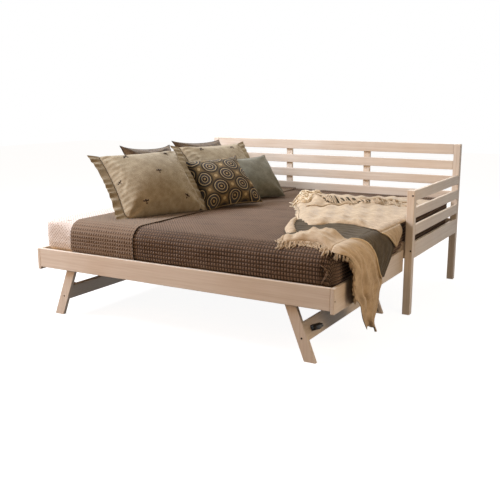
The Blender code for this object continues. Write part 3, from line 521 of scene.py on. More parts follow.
trundle_bolts = []
for side, sign in SIDES:
    low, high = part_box(f"trundle_side_board_{side}")
    face = low.x if sign < 0 else high.x
    for board in ("trundle_front_board", "trundle_back_board"):
        trundle_bolts.append(((face, middle(board)[1], (low.z + high.z) / 2), (sign, 0, 0)))
bolts("side_board_bolts", "trundle", trundle_bolts)

for side, sign in SIDES:
    pivot = middle(f"{side}_pivot_bolt_front")
    x = pivot[0] + sign * (pivot[2] - LEG_BOLT_RISE) * np.tan(LEG_SPLAY)
    leg_bolts = []
    for end, way in ENDS:
        low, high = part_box(f"{side}_leg_{end}")
        leg_bolts.append(((x, low.y if way < 0 else high.y, LEG_BOLT_RISE), (0, way, 0)))
    bolts(f"{side}_leg_bolts", f"{side}_leg_frame", leg_bolts)

# Screws through the back stiles into the slats: small pan heads
SCREW_PROFILE = ((0.0045, 0.0), (0.0045, 0.0006), (0.0036, 0.0019), (0.0018, 0.0025), (0.0, 0.0026))
screw_heads = []
for side in ("left", "right"):
    low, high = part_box(f"back_stile_{side}")
    for slat in ("back_slat_1", "back_slat_2", "back_slat_3", "back_slat_4", "back_rail"):
        place = ((low.x + high.x) / 2, high.y, middle(slat)[2])
        screw_heads.append(patch(revolved(SCREW_PROFILE, place, (0, 1, 0), 14), wrap=True))
piece("stile_screws", screw_heads, [zinc], "daybed", weld=True)

# Axle rivets: a domed cap on each side of each caster fork
RIVET_PROFILE = ((0.0062, 0.0), (0.0060, 0.0010), (0.0046, 0.0022), (0.0024, 0.0029), (0.0, 0.0031))
for side in ("left", "right"):
    rivets = []
    for end in ("front", "back"):
        hub = middle(f"{side}_caster_{end}_wheel")
        low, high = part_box(f"{side}_caster_{end}_fork")
        for face, way in ((low.y, -1), (high.y, 1)):
            rivets.append(patch(revolved(RIVET_PROFILE, (hub[0], face, hub[2]), (0, way, 0), 14), wrap=True))
    piece(f"{side}_axle_rivets", rivets, [zinc], f"{side}_leg_frame", weld=True)


# Mattresses: a soft block with rounded corners and edges, quilted in diamonds
MATTRESS_CORNER, MATTRESS_EDGE, MATTRESS_UNDER = 0.090, 0.076, 0.050
QUILT_PITCH, QUILT_DEPTH = 0.055, 0.0035
TAPE_DEPTH, TAPE_WIDTH = 0.0025, 0.004
STEEP = 0.7
HEAD_CORNER, HEAD_EDGE = 0.060, 0.034
HEAD_FROM, HEAD_EASE = -0.74, 0.10
LOOP_LONG, LOOP_SHORT, LOOP_CORNER = 100, 52, 7
CAP_ROWS, ARC_ROWS, SIDE_ROWS = 34, 6, 14


def rounded_loop(half_x, half_y):
    """A rounded rectangle, anticlockwise: quarter circles at the corners, smaller at the head end, each
    followed by a straight run to the next. Returns its points and outward directions."""
    arcs, turns = [], []
    for corner, (sx, sy) in enumerate(((1, 1), (-1, 1), (-1, -1), (1, -1))):
        radius = MATTRESS_CORNER if sx > 0 else HEAD_CORNER
        turn = np.pi / 2 * (corner + np.linspace(0, 1, LOOP_CORNER))
        turns.append(np.stack([np.cos(turn), np.sin(turn)], axis=1))
        arcs.append(np.array([sx * (half_x - radius), sy * (half_y - radius)]) + radius * turns[-1])
    points, ways = [], []
    for corner, count in enumerate((LOOP_LONG, LOOP_SHORT, LOOP_LONG, LOOP_SHORT)):
        step = np.linspace(0, 1, count + 2)[1:-1, None]
        start, stop = arcs[corner][-1], arcs[(corner + 1) % 4][0]
        points += [arcs[corner], start + step * (stop - start)]
        ways += [turns[corner], np.broadcast_to(turns[corner][-1], (count, 2))]
    return np.concatenate(points), np.concatenate(ways)


def mattress(name, node, body):
    """Loops stacked along a profile: out from the middle of the underside, round the edge, up the side,
    round the upper edge, which is tighter at the head end, and in to the middle. The face sinks along
    crossing diagonal seams and two tape lines."""
    low, high = (np.array(corner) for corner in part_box(node))
    centre = (low + high) / 2
    half = (high - low) / 2
    outer, way = rounded_loop(half[0], half[1])
    at_head = 1 - ease((outer[:, :1] - HEAD_FROM) / HEAD_EASE + 1)
    edge = MATTRESS_EDGE + (HEAD_EDGE - MATTRESS_EDGE) * at_head
    under, inner = outer - MATTRESS_UNDER * way, outer - edge * way
    share = np.linspace(0, 1, CAP_ROWS)[:-1, None, None]
    arc = np.linspace(0, np.pi / 2, ARC_ROWS)[:, None, None]
    rise = np.linspace(-half[2] + MATTRESS_UNDER, half[2] - edge, SIDE_ROWS)[1:-1]
    plan = np.concatenate([share * under, under + MATTRESS_UNDER * np.sin(arc) * way,
                           np.broadcast_to(outer, (len(rise), *outer.shape)),
                           inner + edge * np.cos(arc) * way, share[::-1] * inner])
    below = np.concatenate([np.full_like(share, -half[2]), -half[2] + MATTRESS_UNDER * (1 - np.cos(arc))])
    wide = np.zeros_like(edge)
    height = np.concatenate([below + wide, rise, half[2] - edge * (1 - np.sin(arc)),
                             np.full_like(share, half[2]) + wide])
    points = np.concatenate([plan, height], axis=-1)
    flat_turn = np.concatenate([np.zeros(len(share)), arc[:, 0, 0], np.full(len(rise), np.pi / 2),
                                np.pi / 2 - arc[:, 0, 0], np.zeros(len(share))])
    upper = np.sign(np.arange(len(height)) - len(share) - len(arc))
    upward = np.broadcast_to((np.cos(flat_turn) * upper)[:, None, None], height.shape)
    face = np.concatenate([np.sin(flat_turn)[:, None, None] * way, upward], axis=-1)
    steps = np.linalg.norm(np.diff(outer, axis=0, append=outer[:1]), axis=1)
    along = np.concatenate([[0], np.cumsum(steps)[:-1]])
    on_side = np.sin(flat_turn)[:, None] > STEEP
    u = np.where(on_side, along[None, :], points[..., 0])
    v = np.where(on_side, points[..., 2], points[..., 1])
    seam = np.minimum(np.abs(np.sin(np.pi * (u + v) / QUILT_PITCH)),
                      np.abs(np.sin(np.pi * (u - v) / QUILT_PITCH)))
    sink = QUILT_DEPTH * (1 - np.sqrt(seam))
    tape = sum(np.exp(-((points[..., 2] - at) / TAPE_WIDTH) ** 2)
               for at in (half[2] - edge[:, 0], MATTRESS_UNDER - half[2])) * on_side
    points = points - (sink + TAPE_DEPTH * tape)[..., None] * face + centre
    made = piece(name, [patch(points, np.stack([u, v], axis=-1), wrap=True)], [ticking], body,
                 weld=True)
    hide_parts(node)


mattress("daybed_mattress_quilted", "daybed_mattress", "daybed")
mattress("trundle_mattress_quilted", "trundle_mattress", "trundle")


# Coverlet: one cloth over both mattresses, turned down at the head, puffed in small squares
COVERLET_FOLD, COVERLET_TURN, COVERLET_HEM = -0.7207, 0.47, 0.384
CLOTH_THICK = 0.0016
UNDER_STAND, OVER_STAND = 0.0024, 0.0062
UNDER_PUFF, OVER_PUFF = 0.0076, 0.0050
CORNER_POWER = 8
DROP_SWAY, LIE = 0.0022, 0.0006
SEAM_SAG, SEAM_HALF = 0.006, 0.06
UNDER_LIMIT = 0.95
CREASE_OUT, CREASE_AT, CREASE_WIDE = 0.008, 1.0, 0.10
CREASE_FROM, CREASE_EASE = 0.015, 0.05
DENT, DENT_AT, DENT_WIDE = 0.014, 1.20, 0.13
DENT_DOWN, DENT_TALL = 0.105, 0.030
FOLD_TURN = (76, 67, 57, 63, 79)
FOLD_LEVEL = (0.402, 0.431, 0.460, 0.486, 0.503)
FOLD_REACH = (-0.001, 0.013, 0.015, 0.015, 0.011)
FOLD_RADIUS, FOLD_POINTS, FOLD_SIDES = 0.0048, 28, 8
BACK_EDGE, BACK_EASE = 0.020, 0.5
BACK_TUCK, TUCK_AT, TUCK_HALF = 0.015, 0.012, 0.022
TINY = 1e-9

day_low, day_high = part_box("daybed_mattress")
trundle_low, trundle_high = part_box("trundle_mattress")
mattress_top = trundle_high.z
seam_y = (day_low.y + trundle_high.y) / 2
bed_foot = trundle_high.x
drop_length = MATTRESS_EDGE * np.pi / 2 + mattress_top - MATTRESS_EDGE - COVERLET_HEM


def steps_between(start, stop, pitch):
    """Points from start to stop, an even number of half pitches apart, so that puffs end on a seam."""
    count = 2 * max(1, round((stop - start) / pitch))
    return np.linspace(start, stop, count + 1)


def corner_fold():
    """The curled edge of the fold at the foot's front corner: a tube that thins to both ends, along a path
    round the corner given by its turn, its level and how far it stands off the mattress."""
    share = np.linspace(0, 1, FOLD_POINTS)
    knots = np.linspace(0, 1, len(FOLD_TURN))
    turn, level, reach = (spline(knots, values, share)
                          for values in (np.radians(FOLD_TURN), FOLD_LEVEL, FOLD_REACH))
    reach += MATTRESS_EDGE
    path = np.stack([bed_foot - MATTRESS_EDGE + reach * np.cos(turn),
                     trundle_low.y + MATTRESS_EDGE - reach * np.sin(turn), level], axis=1)
    grid = tube(path, FOLD_RADIUS * np.sin(np.pi * (0.06 + 0.88 * share)) ** 0.6, sides=FOLD_SIDES)
    uv = np.stack(np.meshgrid(np.linspace(0, 0.02, FOLD_SIDES), 0.14 * share), axis=-1)
    return piece("coverlet_fold", [patch(grid, uv, wrap=True)], [coverlet_back], "trundle",
                 weld=True)


def coverlet():
    """A flat cloth (a along the bed, b across it) laid over a block with round edges. Past an edge by d the
    cloth turns a quarter circle, falls and follows the block's lower edge in; d joins the two edges at a
    corner by a high power mean, so the hem is level. The circle is smaller at the back, where the cloth is
    tucked up to the slats. Before the fold line a runs back over itself, one layer up. Squares puff between
    seams, and dent on the back."""
    edge_front = trundle_low.y + MATTRESS_EDGE
    edge_back = day_high.y - BACK_EDGE
    longest = bed_foot - MATTRESS_EDGE + drop_length
    turned = steps_between(COVERLET_FOLD - COVERLET_TURN, COVERLET_FOLD, PUFF_ALONG)
    laid = steps_between(COVERLET_FOLD, longest, PUFF_ALONG)
    a_line = np.concatenate([turned[:-1], laid])
    b_line = steps_between(edge_front - drop_length, edge_back + drop_length, PUFF_ACROSS)
    b, a = np.meshgrid(b_line, a_line, indexing="ij")
    row, column = np.meshgrid(np.arange(len(b_line)), np.arange(len(a_line)), indexing="ij")
    over = a < COVERLET_FOLD - TINY
    x = np.where(over, 2 * COVERLET_FOLD - a, a)
    radius = MATTRESS_EDGE + (BACK_EDGE - MATTRESS_EDGE) * ease((b - edge_back) / BACK_EASE + 1)
    edge_x = bed_foot - radius
    past_foot = np.maximum(x - edge_x, 0)
    past_side = np.maximum(edge_front - b, 0) - np.maximum(b - edge_back, 0)
    d = (past_foot ** CORNER_POWER + np.abs(past_side) ** CORNER_POWER) ** (1 / CORNER_POWER)
    reach = np.maximum(np.hypot(past_foot, past_side), TINY)
    way_x, way_y = past_foot / reach, -past_side / reach
    turn = np.minimum(d / radius, np.pi / 2)
    down = radius * (1 - np.cos(turn)) + np.maximum(d - radius * np.pi / 2, 0)
    below = np.clip((down - mattress_top + trundle_low.z) / MATTRESS_UNDER + 1, 0, UNDER_LIMIT)
    out = radius * np.sin(turn) - MATTRESS_UNDER * (1 - np.sqrt(1 - below ** 2))
    base = np.stack([np.minimum(x, edge_x) + way_x * out, np.clip(b, edge_front, edge_back) + way_y * out,
                     mattress_top - down], axis=-1)
    level = np.sin(turn) * np.sqrt(1 - below ** 2)
    face = np.stack([way_x * level, way_y * level, np.cos(turn) - below], axis=-1)
    uneven = ripple(a, b, 10, 0.25, 0.04)
    square = (row % 2) * (column % 2) * (0.8 + 0.35 * uneven)
    sway = DROP_SWAY * (1 + uneven) * np.sin(turn)
    lie = LIE * (1 + ripple(x, b, 9, 0.6, 0.09)) * np.cos(turn)
    under = UNDER_STAND + UNDER_PUFF * square
    upper = OVER_STAND + OVER_PUFF * (1 - square)
    at_fold = np.abs(a - COVERLET_FOLD) < TINY
    stand = np.where(over, upper, np.where(at_fold, (UNDER_STAND + OVER_STAND) / 2, under)) + lie
    corner = np.arctan2(np.abs(past_side), np.maximum(past_foot, TINY))
    pleat = CREASE_OUT * np.exp(-((corner - CREASE_AT) / CREASE_WIDE) ** 2)
    pleat *= ease((down - CREASE_FROM) / CREASE_EASE)
    pleat -= DENT * np.exp(-((corner - DENT_AT) / DENT_WIDE) ** 2 - ((down - DENT_DOWN) / DENT_TALL) ** 2)
    pleat *= (past_foot > 0) & (past_side > 0)
    sag = SEAM_SAG * np.exp(-((b - seam_y) / SEAM_HALF) ** 2) * np.cos(turn)
    points = base + (stand + pleat + sway)[..., None] * face
    tuck = BACK_TUCK * np.exp(-((b - edge_back - TUCK_AT) / TUCK_HALF) ** 2)
    points[..., 2] += tuck - sag
    flat = np.stack([column * PUFF_ALONG / 2, row * PUFF_ACROSS / 2], axis=-1)
    made = piece("coverlet", [patch(points, flat)], [coverlet_face, coverlet_back])
    shown_back = np.add.outer(np.zeros(len(b_line) - 1), a_line[:-1]) < COVERLET_FOLD - TINY
    made.data.polygons.foreach_set("material_index", shown_back.ravel().astype(np.int32))
    modifier(made, "SOLIDIFY", thickness=CLOTH_THICK, offset=-1.0, use_even_offset=False, use_rim_only=True)
    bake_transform(made)
    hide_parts("daybed_coverlet", "trundle_coverlet")
    corner_fold()


coverlet()


# Pillows: two panels sewn at the border and blown up, then set in their places. Each has its body, its
# size, its yaw, lean and roll, the share by which its sides draw in between the corners, its cloth and its
# slot
PILLOWS = {
    "pillow_dark_trundle": ("trundle", (0.434, 0.475, 0.130), (-12, 33, -2), 0.10,
        brown_satin, "pillow_brown"),
    "pillow_dark_daybed": ("daybed", (0.620, 0.465, 0.130), (-1, 33, -2), 0.10,
        brown_satin, "pillow_brown"),
    "pillow_sham_trundle": ("trundle", (0.656, 0.490, 0.155), (-25, 43, 2), 0.05,
        beige_linen, "pillow_beige"),
    "pillow_sham_daybed": ("daybed", (0.700, 0.505, 0.155), (-15, 43, 0), 0.05,
        beige_linen, "pillow_beige"),
    "pillow_patterned": ("daybed", (0.462, 0.420, 0.135), (-26, 44, 4), 0.08,
        medallion_jacquard, "pillow_pattern"),
    "pillow_grey_green": ("daybed", (0.420, 0.380, 0.120), (-27, 41, 2), 0.04,
        grey_cotton, "pillow_grey"),
}
PILLOW_CELL, PILLOW_START, PILLOW_FULL = 0.0085, 0.8, 1.10
FRONT_DOME = {"pillow_sham_trundle": 0.050, "pillow_patterned": 0.020, "pillow_grey_green": 0.020}
BLUNT_FOOT, BLUNT_TOP = 0.11, 0.03
BELLY = 0.22
BLOW_FRAMES, BLOW_PRESSURE, BLOW_CAP = 18, 2.5, 0.016
WELT_RADIUS = 0.0022
FLANGE, FLANGE_THICK, FLANGE_ROWS = 0.055, 0.0035, 7
RUFFLE, RUFFLE_PITCH = 0.0042, 0.046
TICK_CLOTH = {
    "quality": 5, "mass": 0.2, "tension_stiffness": 18, "compression_stiffness": 18, "shear_stiffness": 4,
    "bending_stiffness": 0.25, "use_pressure": True, "uniform_pressure_force": BLOW_PRESSURE,
}
FLANGE_BACK = {("pillow_sham_trundle", 1): np.radians((38, 0, 22))}
REST_LEVEL = mattress_top + 0.0065


def grid_quads(index):
    """Quads of a grid of point numbers."""
    corners = (index[:-1, :-1], index[:-1, 1:], index[1:, 1:], index[1:, :-1])
    return np.stack(corners, axis=-1).reshape(-1, 4)


def sewn_panels(name, width, height, thickness, pull, blunt):
    """Front and back panels that share their border. Each swells about as the square root of its distance
    from the border, more below than above. The sides pull in between the corners, and blunt corners draw in
    too."""
    u = np.linspace(-1, 1, 2 * round(width / PILLOW_CELL / 2) + 1)
    v = np.linspace(-1, 1, 2 * round(height / PILLOW_CELL / 2) + 1)
    v, u = np.meshgrid(v, u, indexing="ij")
    crown = thickness / 2 * ((1 - u ** 2) * (1 - v ** 2)) ** 0.46 * (1 - BELLY * v)
    corner = 1 - np.where(v < 0, *blunt) * (u * v) ** 8
    x = width / 2 * u * (1 - pull * (1 - v ** 2) * u ** 2) * corner
    z = height / 2 * v * (1 - pull * (1 - u ** 2) * v ** 2) * corner
    front = np.stack([x, -crown, z], axis=-1)
    back = np.stack([x, crown, z], axis=-1)[:, ::-1]
    front_index = np.arange(u.size).reshape(u.shape)
    back_index = front_index[:, ::-1].copy()
    inside = (np.array(u.shape) - 2).prod()
    back_index[1:-1, 1:-1] = u.size + np.arange(inside).reshape(u.shape[0] - 2, -1)
    points = np.concatenate([front.reshape(-1, 3), back[1:-1, 1:-1].reshape(-1, 3)])
    flat = np.stack([width / 2 * u, height / 2 * v], axis=-1)
    quads = np.concatenate([grid_quads(front_index), grid_quads(back_index)])
    lookup = np.concatenate([flat.reshape(-1, 2), flat[:, ::-1][1:-1, 1:-1].reshape(-1, 2)])
    return link_mesh(name, points, quads, lookup), front_index


def blow_up(pillows):
    """Cloth under pressure and without weight, stepped a few frames. The swollen points replace the flat
    ones, but none moves further than the cap."""
    for made in pillows:
        cloth = modifier(made, "CLOTH")
        for key, value in TICK_CLOTH.items():
            setattr(cloth.settings, key, value)
        cloth.settings.effector_weights.gravity = 0
        cloth.collision_settings.use_collision = False
        cloth.point_cache.frame_start = 1
        cloth.point_cache.frame_end = BLOW_FRAMES
    for step in range(1, BLOW_FRAMES + 1):
        bpy.context.scene.frame_set(step)
    shapes = bpy.context.evaluated_depsgraph_get()
    for made in pillows:
        start = np.empty((len(made.data.vertices), 3), np.float32)
        swollen = np.empty_like(start)
        made.data.vertices.foreach_get("co", start.ravel())
        made.evaluated_get(shapes).data.vertices.foreach_get("co", swollen.ravel())
        made.modifiers.clear()
        move = swollen - start
        length = np.maximum(np.linalg.norm(move, axis=1, keepdims=True), TINY)
        move *= BLOW_CAP * np.tanh(length / BLOW_CAP) / length
        made.data.vertices.foreach_set("co", (start + move).ravel())
    bpy.context.scene.frame_set(1)


def pillow_turn(yaw, lean, roll):
    """A pillow faces the foot end, turned by yaw, leaning back and rolled in its own plane."""
    turn = (Matrix.Rotation(np.radians(yaw + 90), 3, "Z") @ Matrix.Rotation(np.radians(-lean), 3, "X")
            @ Matrix.Rotation(np.radians(-roll), 3, "Y"))
    return np.array(turn)


def set_down(points, node, turn):
    """Local points turned into place about the middle of the node, flat where they meet the bed."""
    placed = points @ turn.T + middle(node)
    placed[..., 2] = np.maximum(placed[..., 2], REST_LEVEL)
    return placed


def border_loop(index):
    """Point numbers round the border of a panel, in order."""
    return np.concatenate([index[0, :-1], index[:-1, -1], index[-1, :0:-1], index[:0:-1, 0]])


def flange_patch(seam, way, height, turned_back):
    """A gathered strip sewn along one short side: out from the seam by the flange's width, a little more at
    the corners, turned back by an angle at its foot, middle and top, and waving in and out of the pillow's
    plane more towards its free edge. Its section is a flat loop."""
    share = np.linspace(0, 1, FLANGE_ROWS)
    level = seam[:, 2] / (height / 2)
    back = np.interp(level, (-1, 0, 1), turned_back)[:, None]
    reach = FLANGE * (1 + 0.35 * np.abs(level) ** 4)[:, None] * share
    waves = np.sin(2 * np.pi * (seam[:, 2] / RUFFLE_PITCH + 0.35 * np.sin(7 * level)))
    waves += 0.5 * np.sin(seam[:, 2] * 95 + 1.3)
    wave = RUFFLE * waves[:, None] * np.sin(share * np.pi * 0.62)
    flare = 1 + 0.07 * share * np.abs(level[:, None]) ** 3
    half = FLANGE_THICK / 2 * (1.15 - share) * np.sqrt(1 - level ** 2)[:, None]
    x = seam[:, 0, None] + way * (reach * np.cos(back) - wave * np.sin(back))
    z = seam[:, 2, None] * flare
    y = seam[:, 1, None] + reach * np.sin(back) + wave * np.cos(back)
    near = np.stack([x, y - half, z], axis=-1)
    far = np.stack([x, y + half, z], axis=-1)[:, ::-1]
    loop = np.concatenate([near, far], axis=1)
    if way < 0:
        loop = loop[:, ::-1]
    shares = np.concatenate([share, 2 - share[::-1]])
    uv = np.stack(np.broadcast_arrays(FLANGE * shares[None, :] + 0.4, seam[:, 2:3]), axis=-1)
    return loop, uv


SPRIG_PITCH = (0.26, 0.16)
SPRIG_LEAVES = ((0, 0.0, 0.0105), (70, 0.008, 0.0080), (-65, 0.0085, 0.0080), (180, 0.0070, 0.0075))


def sprigs(front):
    """Small stitched sprigs in staggered rows: each a few flat leaves, ellipsoids fanned on the cloth."""
    face = normals(front)
    rows, columns = front.shape[:2]
    turn, rise = np.meshgrid(np.linspace(0, 2 * np.pi, 7), np.linspace(-np.pi / 2, np.pi / 2, 5))
    ball = np.stack([np.cos(rise) * np.cos(turn), np.cos(rise) * np.sin(turn), np.sin(rise)], axis=-1)
    leaves = []
    spread_x, spread_z = np.ptp(front[..., 0]), np.ptp(front[..., 2])
    across, up = int(spread_x / SPRIG_PITCH[0]), int(spread_z / SPRIG_PITCH[1])
    for i in range(up):
        for j in range(across + i % 2):
            row = int((i + 0.5) / up * (rows - 1))
            column = int(np.clip((j + 0.5 - 0.5 * (i % 2)) / across, 0.06, 0.94) * (columns - 1))
            place, out = front[row, column], face[row, column]
            right = np.cross((0, 0, 1.0), out)
            right /= np.linalg.norm(right)
            upward = np.cross(out, right)
            for angle, shift, size in SPRIG_LEAVES:
                a = np.radians(angle + 25 * (j - i))
                along = np.cos(a) * upward + np.sin(a) * right
                beside = np.cross(out, along)
                centre = place + along * (shift + size * 0.6) + out * 0.0006
                leaf = (centre + ball[..., :1] * beside * size * 0.62 + ball[..., 1:2] * along * size
                        + ball[..., 2:] * out * 0.0016)
                leaves.append(leaf)
    return leaves


CREASE, CREASE_REACH, CREASE_COUNT = 0.0048, 0.065, 8
GATHER, GATHER_REACH, GATHER_PITCH = 0.0052, 0.045, 0.034


def wrinkles(points, width, height, gathered):
    """How far each point of a cushion is pushed off its plane: creases that fan from each corner and fade
    over a hand's breadth, and short gathers beside the short sides where a flange is sewn on."""
    x, y, z = points.T
    push = np.zeros(len(points))
    for end in (-1, 1):
        for edge in (-1, 1):
            beside, above = np.maximum(width / 2 - end * x, 0), np.maximum(height / 2 - edge * z, 0)
            far = np.hypot(beside, above) / CREASE_REACH
            fan = np.sin(CREASE_COUNT * np.arctan2(above, beside) + chance.uniform(0, 2 * np.pi))
            push += CREASE * fan * far * np.exp(1 - far)
    if gathered:
        beside = np.maximum(width / 2 - np.abs(x), 0)
        phase = 2 * np.pi * z / GATHER_PITCH + 1.3 * np.sin(9 * z / height) + np.sign(x)
        push += GATHER * np.sin(phase) * np.exp(-beside / GATHER_REACH)
    return push * np.tanh(y / 0.012)


def dome(points, size):
    """Share of the extra swelling in front: a parabola across times one up the cushion, none at the border
    or behind."""
    x, y, z = points.T
    swell = np.maximum(1 - (2 * x / size[0]) ** 2, 0) * np.maximum(1 - (2 * z / size[2]) ** 2, 0)
    return swell * np.tanh(np.maximum(-y, 0) / 0.02)


def make_pillows():
    """Sews all the cushions and blows them up, then brings each to its size, creases it, sets it down and
    trims it: a plain pillow with a welt round its border, a sham with flanges, their seams and sprigs."""
    made, index, sizes = {}, {}, {}
    for node, (body, (width, height, thickness), pose, pull, material, slot) in PILLOWS.items():
        own_width = width - 2 * FLANGE if "sham" in node else width
        sizes[node] = np.array([own_width, thickness * PILLOW_FULL, height])
        swell = thickness * PILLOW_START
        blunt = (BLUNT_FOOT, BLUNT_TOP) if "sham" in node else (0, 0)
        made[node], index[node] = sewn_panels(node + "_cushion", own_width, height, swell, pull, blunt)
    blow_up(made.values())
    for node, (body, (width, height, thickness), pose, pull, material, slot) in PILLOWS.items():
        sham = "sham" in node
        cushion, size = made[node], sizes[node]
        turn = pillow_turn(*pose)
        points = np.empty((len(cushion.data.vertices), 3), np.float32)
        cushion.data.vertices.foreach_get("co", points.ravel())
        points = points.astype(float)
        points -= (points.max(axis=0) + points.min(axis=0)) / 2
        points *= size / np.ptp(points, axis=0)
        points[:, 1] += wrinkles(points, size[0], height, sham)
        points[:, 1] -= FRONT_DOME.get(node, 0) * dome(points, size)
        cushion.data.vertices.foreach_set("co", set_down(points, node, turn).astype(np.float32).ravel())
        cushion.data.materials.append(material)
        modifier(cushion, "SUBSURF", levels=1, render_levels=1)
        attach(cushion, body)
        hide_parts(node)
        if not sham:
            loop = points[border_loop(index[node])]
            welt = patch(set_down(tube(loop, WELT_RADIUS, closed=True), node, turn), wrap=True)
            piece(node + "_welt", [welt], [material], body)
        else:
            strips, seams = [], []
            for column, way in ((0, -1), (-1, 1)):
                seam = points[index[node][:, column]]
                strip, uv = flange_patch(seam, way, height, FLANGE_BACK.get((node, way), (0, 0, 0)))
                strips.append(patch(set_down(strip, node, turn), uv, wrap=True))
                seams.append(patch(set_down(tube(seam, WELT_RADIUS), node, turn), wrap=True))
            # The seam cords' darker colour is painted shade along the seam's groove
            piece(node + "_seams", seams, [seam_cord_painted_shade], body, weld=True)
            flanges = piece(node + "_flanges", strips, [material], body, weld=True)
            modifier(flanges, "SUBSURF", levels=1, render_levels=1)
            leaves = [patch(set_down(leaf, node, turn)) for leaf in sprigs(points[index[node]])]
            piece(node + "_sprigs", leaves, [thread_brown], body, weld=True)


make_pillows()


# Throw: a wool cloth, cream on one side and grey on the other, folded over the foot end. Each layer is
# given by knots from its front edge to its back edge: where its left end lies, and where it goes over the
# foot. Its folds have a height, the shares of x and y across them and a pitch, and its ripple a height, a
# count and two lengths
CREAM, GREY = 0, 1
THROW_ROLL, THROW_HANG, THROW_THICK = 0.055, 0.984, 0.0034
THROW_CELL, NOSE = 0.0085, 0.042
throw_base = mattress_top + 0.0068
roll_x = THROW_HANG - THROW_ROLL
cover_front = trundle_low.y + MATTRESS_EDGE

CREAM_BACK = {
    "left_x": (0.594, 0.500, 0.430, 0.378, 0.326, 0.250, 0.170, 0.120, 0.105),
    "left_y": (-0.535, -0.430, -0.330, -0.234, -0.115, 0.030, 0.150, 0.280, 0.440),
    "over_y": (-0.440, -0.320, -0.220, -0.120, 0.020, 0.200, 0.400, 0.620, 0.860),
    "end_x": roll_x, "bow": 0.075, "stand": 0.0115, "thick": 0.014, "past": 42, "fade": 0.7,
    "fold": (0.009, 1, 0.35, 0.21), "ripple": (0.010, 8, 0.3, 0.05),
}
TURNED_END = {
    "left_x": (0.605, 0.560, 0.500, 0.445, 0.405),
    "left_y": (-0.822, -0.760, -0.655, -0.500, -0.350),
    "over_y": (-0.790, -0.715, -0.610, -0.490, -0.380),
    "end_x": (0.640, 0.604, 0.543, 0.487, 0.447),
    "bow": 0.0, "stand": 0.0095, "thick": 0.020, "past": 0, "fade": 0.7,
    "fold": (0.008, 1, -0.6, 0.11), "ripple": (0.004, 6, 0.15, 0.04),
}
GREY_MIDDLE = {
    "left_x": (0.683, 0.630, 0.510, 0.435, 0.445),
    "left_y": (-0.893, -0.870, -0.683, -0.478, -0.356),
    "over_y": (-0.870, -0.750, -0.600, -0.420, -0.220),
    "end_x": roll_x, "bow": 0.0, "stand": 0.0035, "thick": 0.010, "past": 0, "fade": 0.7,
    "fold": (0.006, -0.35, 1, 0.13), "ripple": (0.003, 6, 0.25, 0.05),
}
CREAM_FRONT = {
    "left_x": (0.665, 0.640, 0.640, 0.690, 0.745),
    "left_y": (-0.995, -0.965, -0.905, -0.825, -0.745),
    "over_y": (-1.008, -0.945, -0.895, -0.845, -0.795),
    "end_x": roll_x, "bow": 0.040, "stand": 0.0140, "thick": 0.038, "past": 0, "fade": 0.65,
    "fold": (0.007, 0.3, 1, 0.11), "ripple": (0.010, 9, 0.12, 0.025),
}
RIDGE_X = (0.00, 0.10, 0.20, 0.30, 0.40, 0.50, 0.65, 0.80, 1.00)
RIDGE_Y = (0.33, 0.30, 0.27, 0.25, 0.26, 0.31, 0.40, 0.50, 0.60)
RIDGE_TALL = (0.030, 0.040, 0.046, 0.047, 0.044, 0.036, 0.024, 0.014, 0.010)
RIDGE_FRONT, RIDGE_BACK = 0.075, 0.26
RIDGE_FROM, RIDGE_EASE = 0.08, 0.1
BROW, BROW_IN = 0.008, 0.05
CROWD, CROWD_PITCH = 0.006, 0.070
THIN, THIN_FROM, THIN_EASE = 0.024, 0.66, 0.11


def nose(distance, width=NOSE):
    """Height of a rolled edge, 0 at the edge and 1 past its width, round like a quarter ellipse."""
    share = np.clip(distance / width, 0, 1)
    return np.sqrt(np.maximum(1 - (1 - share) ** 2, 0))


def ridge(x, y):
    """The heap at the back of the throw: a soft ridge, steep in front and long behind, highest at the
    left."""
    x = np.clip(x, 0, 1)
    past = y - spline(RIDGE_X, RIDGE_Y, x)
    width = np.where(past < 0, RIDGE_FRONT, RIDGE_BACK)
    return spline(RIDGE_X, RIDGE_TALL, x) * np.exp(-(past / width) ** 2)


def bed_level(y):
    """Height of the coverlet under the throw, which turns down at the trundle's front."""
    past = np.clip(cover_front - y, 0, MATTRESS_EDGE * 0.98)
    return throw_base - MATTRESS_EDGE + np.sqrt(MATTRESS_EDGE ** 2 - past ** 2)


def on_bed(x, y):
    """The bed's level at x and y, for strands that lie on it."""
    return bed_level(y)


def soft_folds(layer, x, y):
    """A layer's own folds, the square of a sine across them, and its ripple."""
    height, by_x, by_y, pitch = layer["fold"]
    rough, *waves = layer["ripple"]
    return height * np.sin(2 * np.pi * (by_x * x + by_y * y) / pitch) ** 2 + rough * ripple(x, y, *waves)


def heaped(x, y, s, t):
    """What the back layer has besides: a swollen front edge and the heap."""
    brow = BROW * np.exp(-((y - y[:1] - BROW_IN) / BROW_IN) ** 2)
    return brow + ridge(x, y) * ease((x - RIDGE_FROM) / RIDGE_EASE)


def crowded(x, y, s, t):
    """What the front layer has besides: thinner at its left end, with narrow folds that crowd there."""
    narrow = CROWD * np.sin(2 * np.pi * (x + 0.4 * y) / CROWD_PITCH + 3 * s) * (1 - t)
    return narrow - THIN * (1 - ease((x - THIN_FROM) / THIN_EASE))


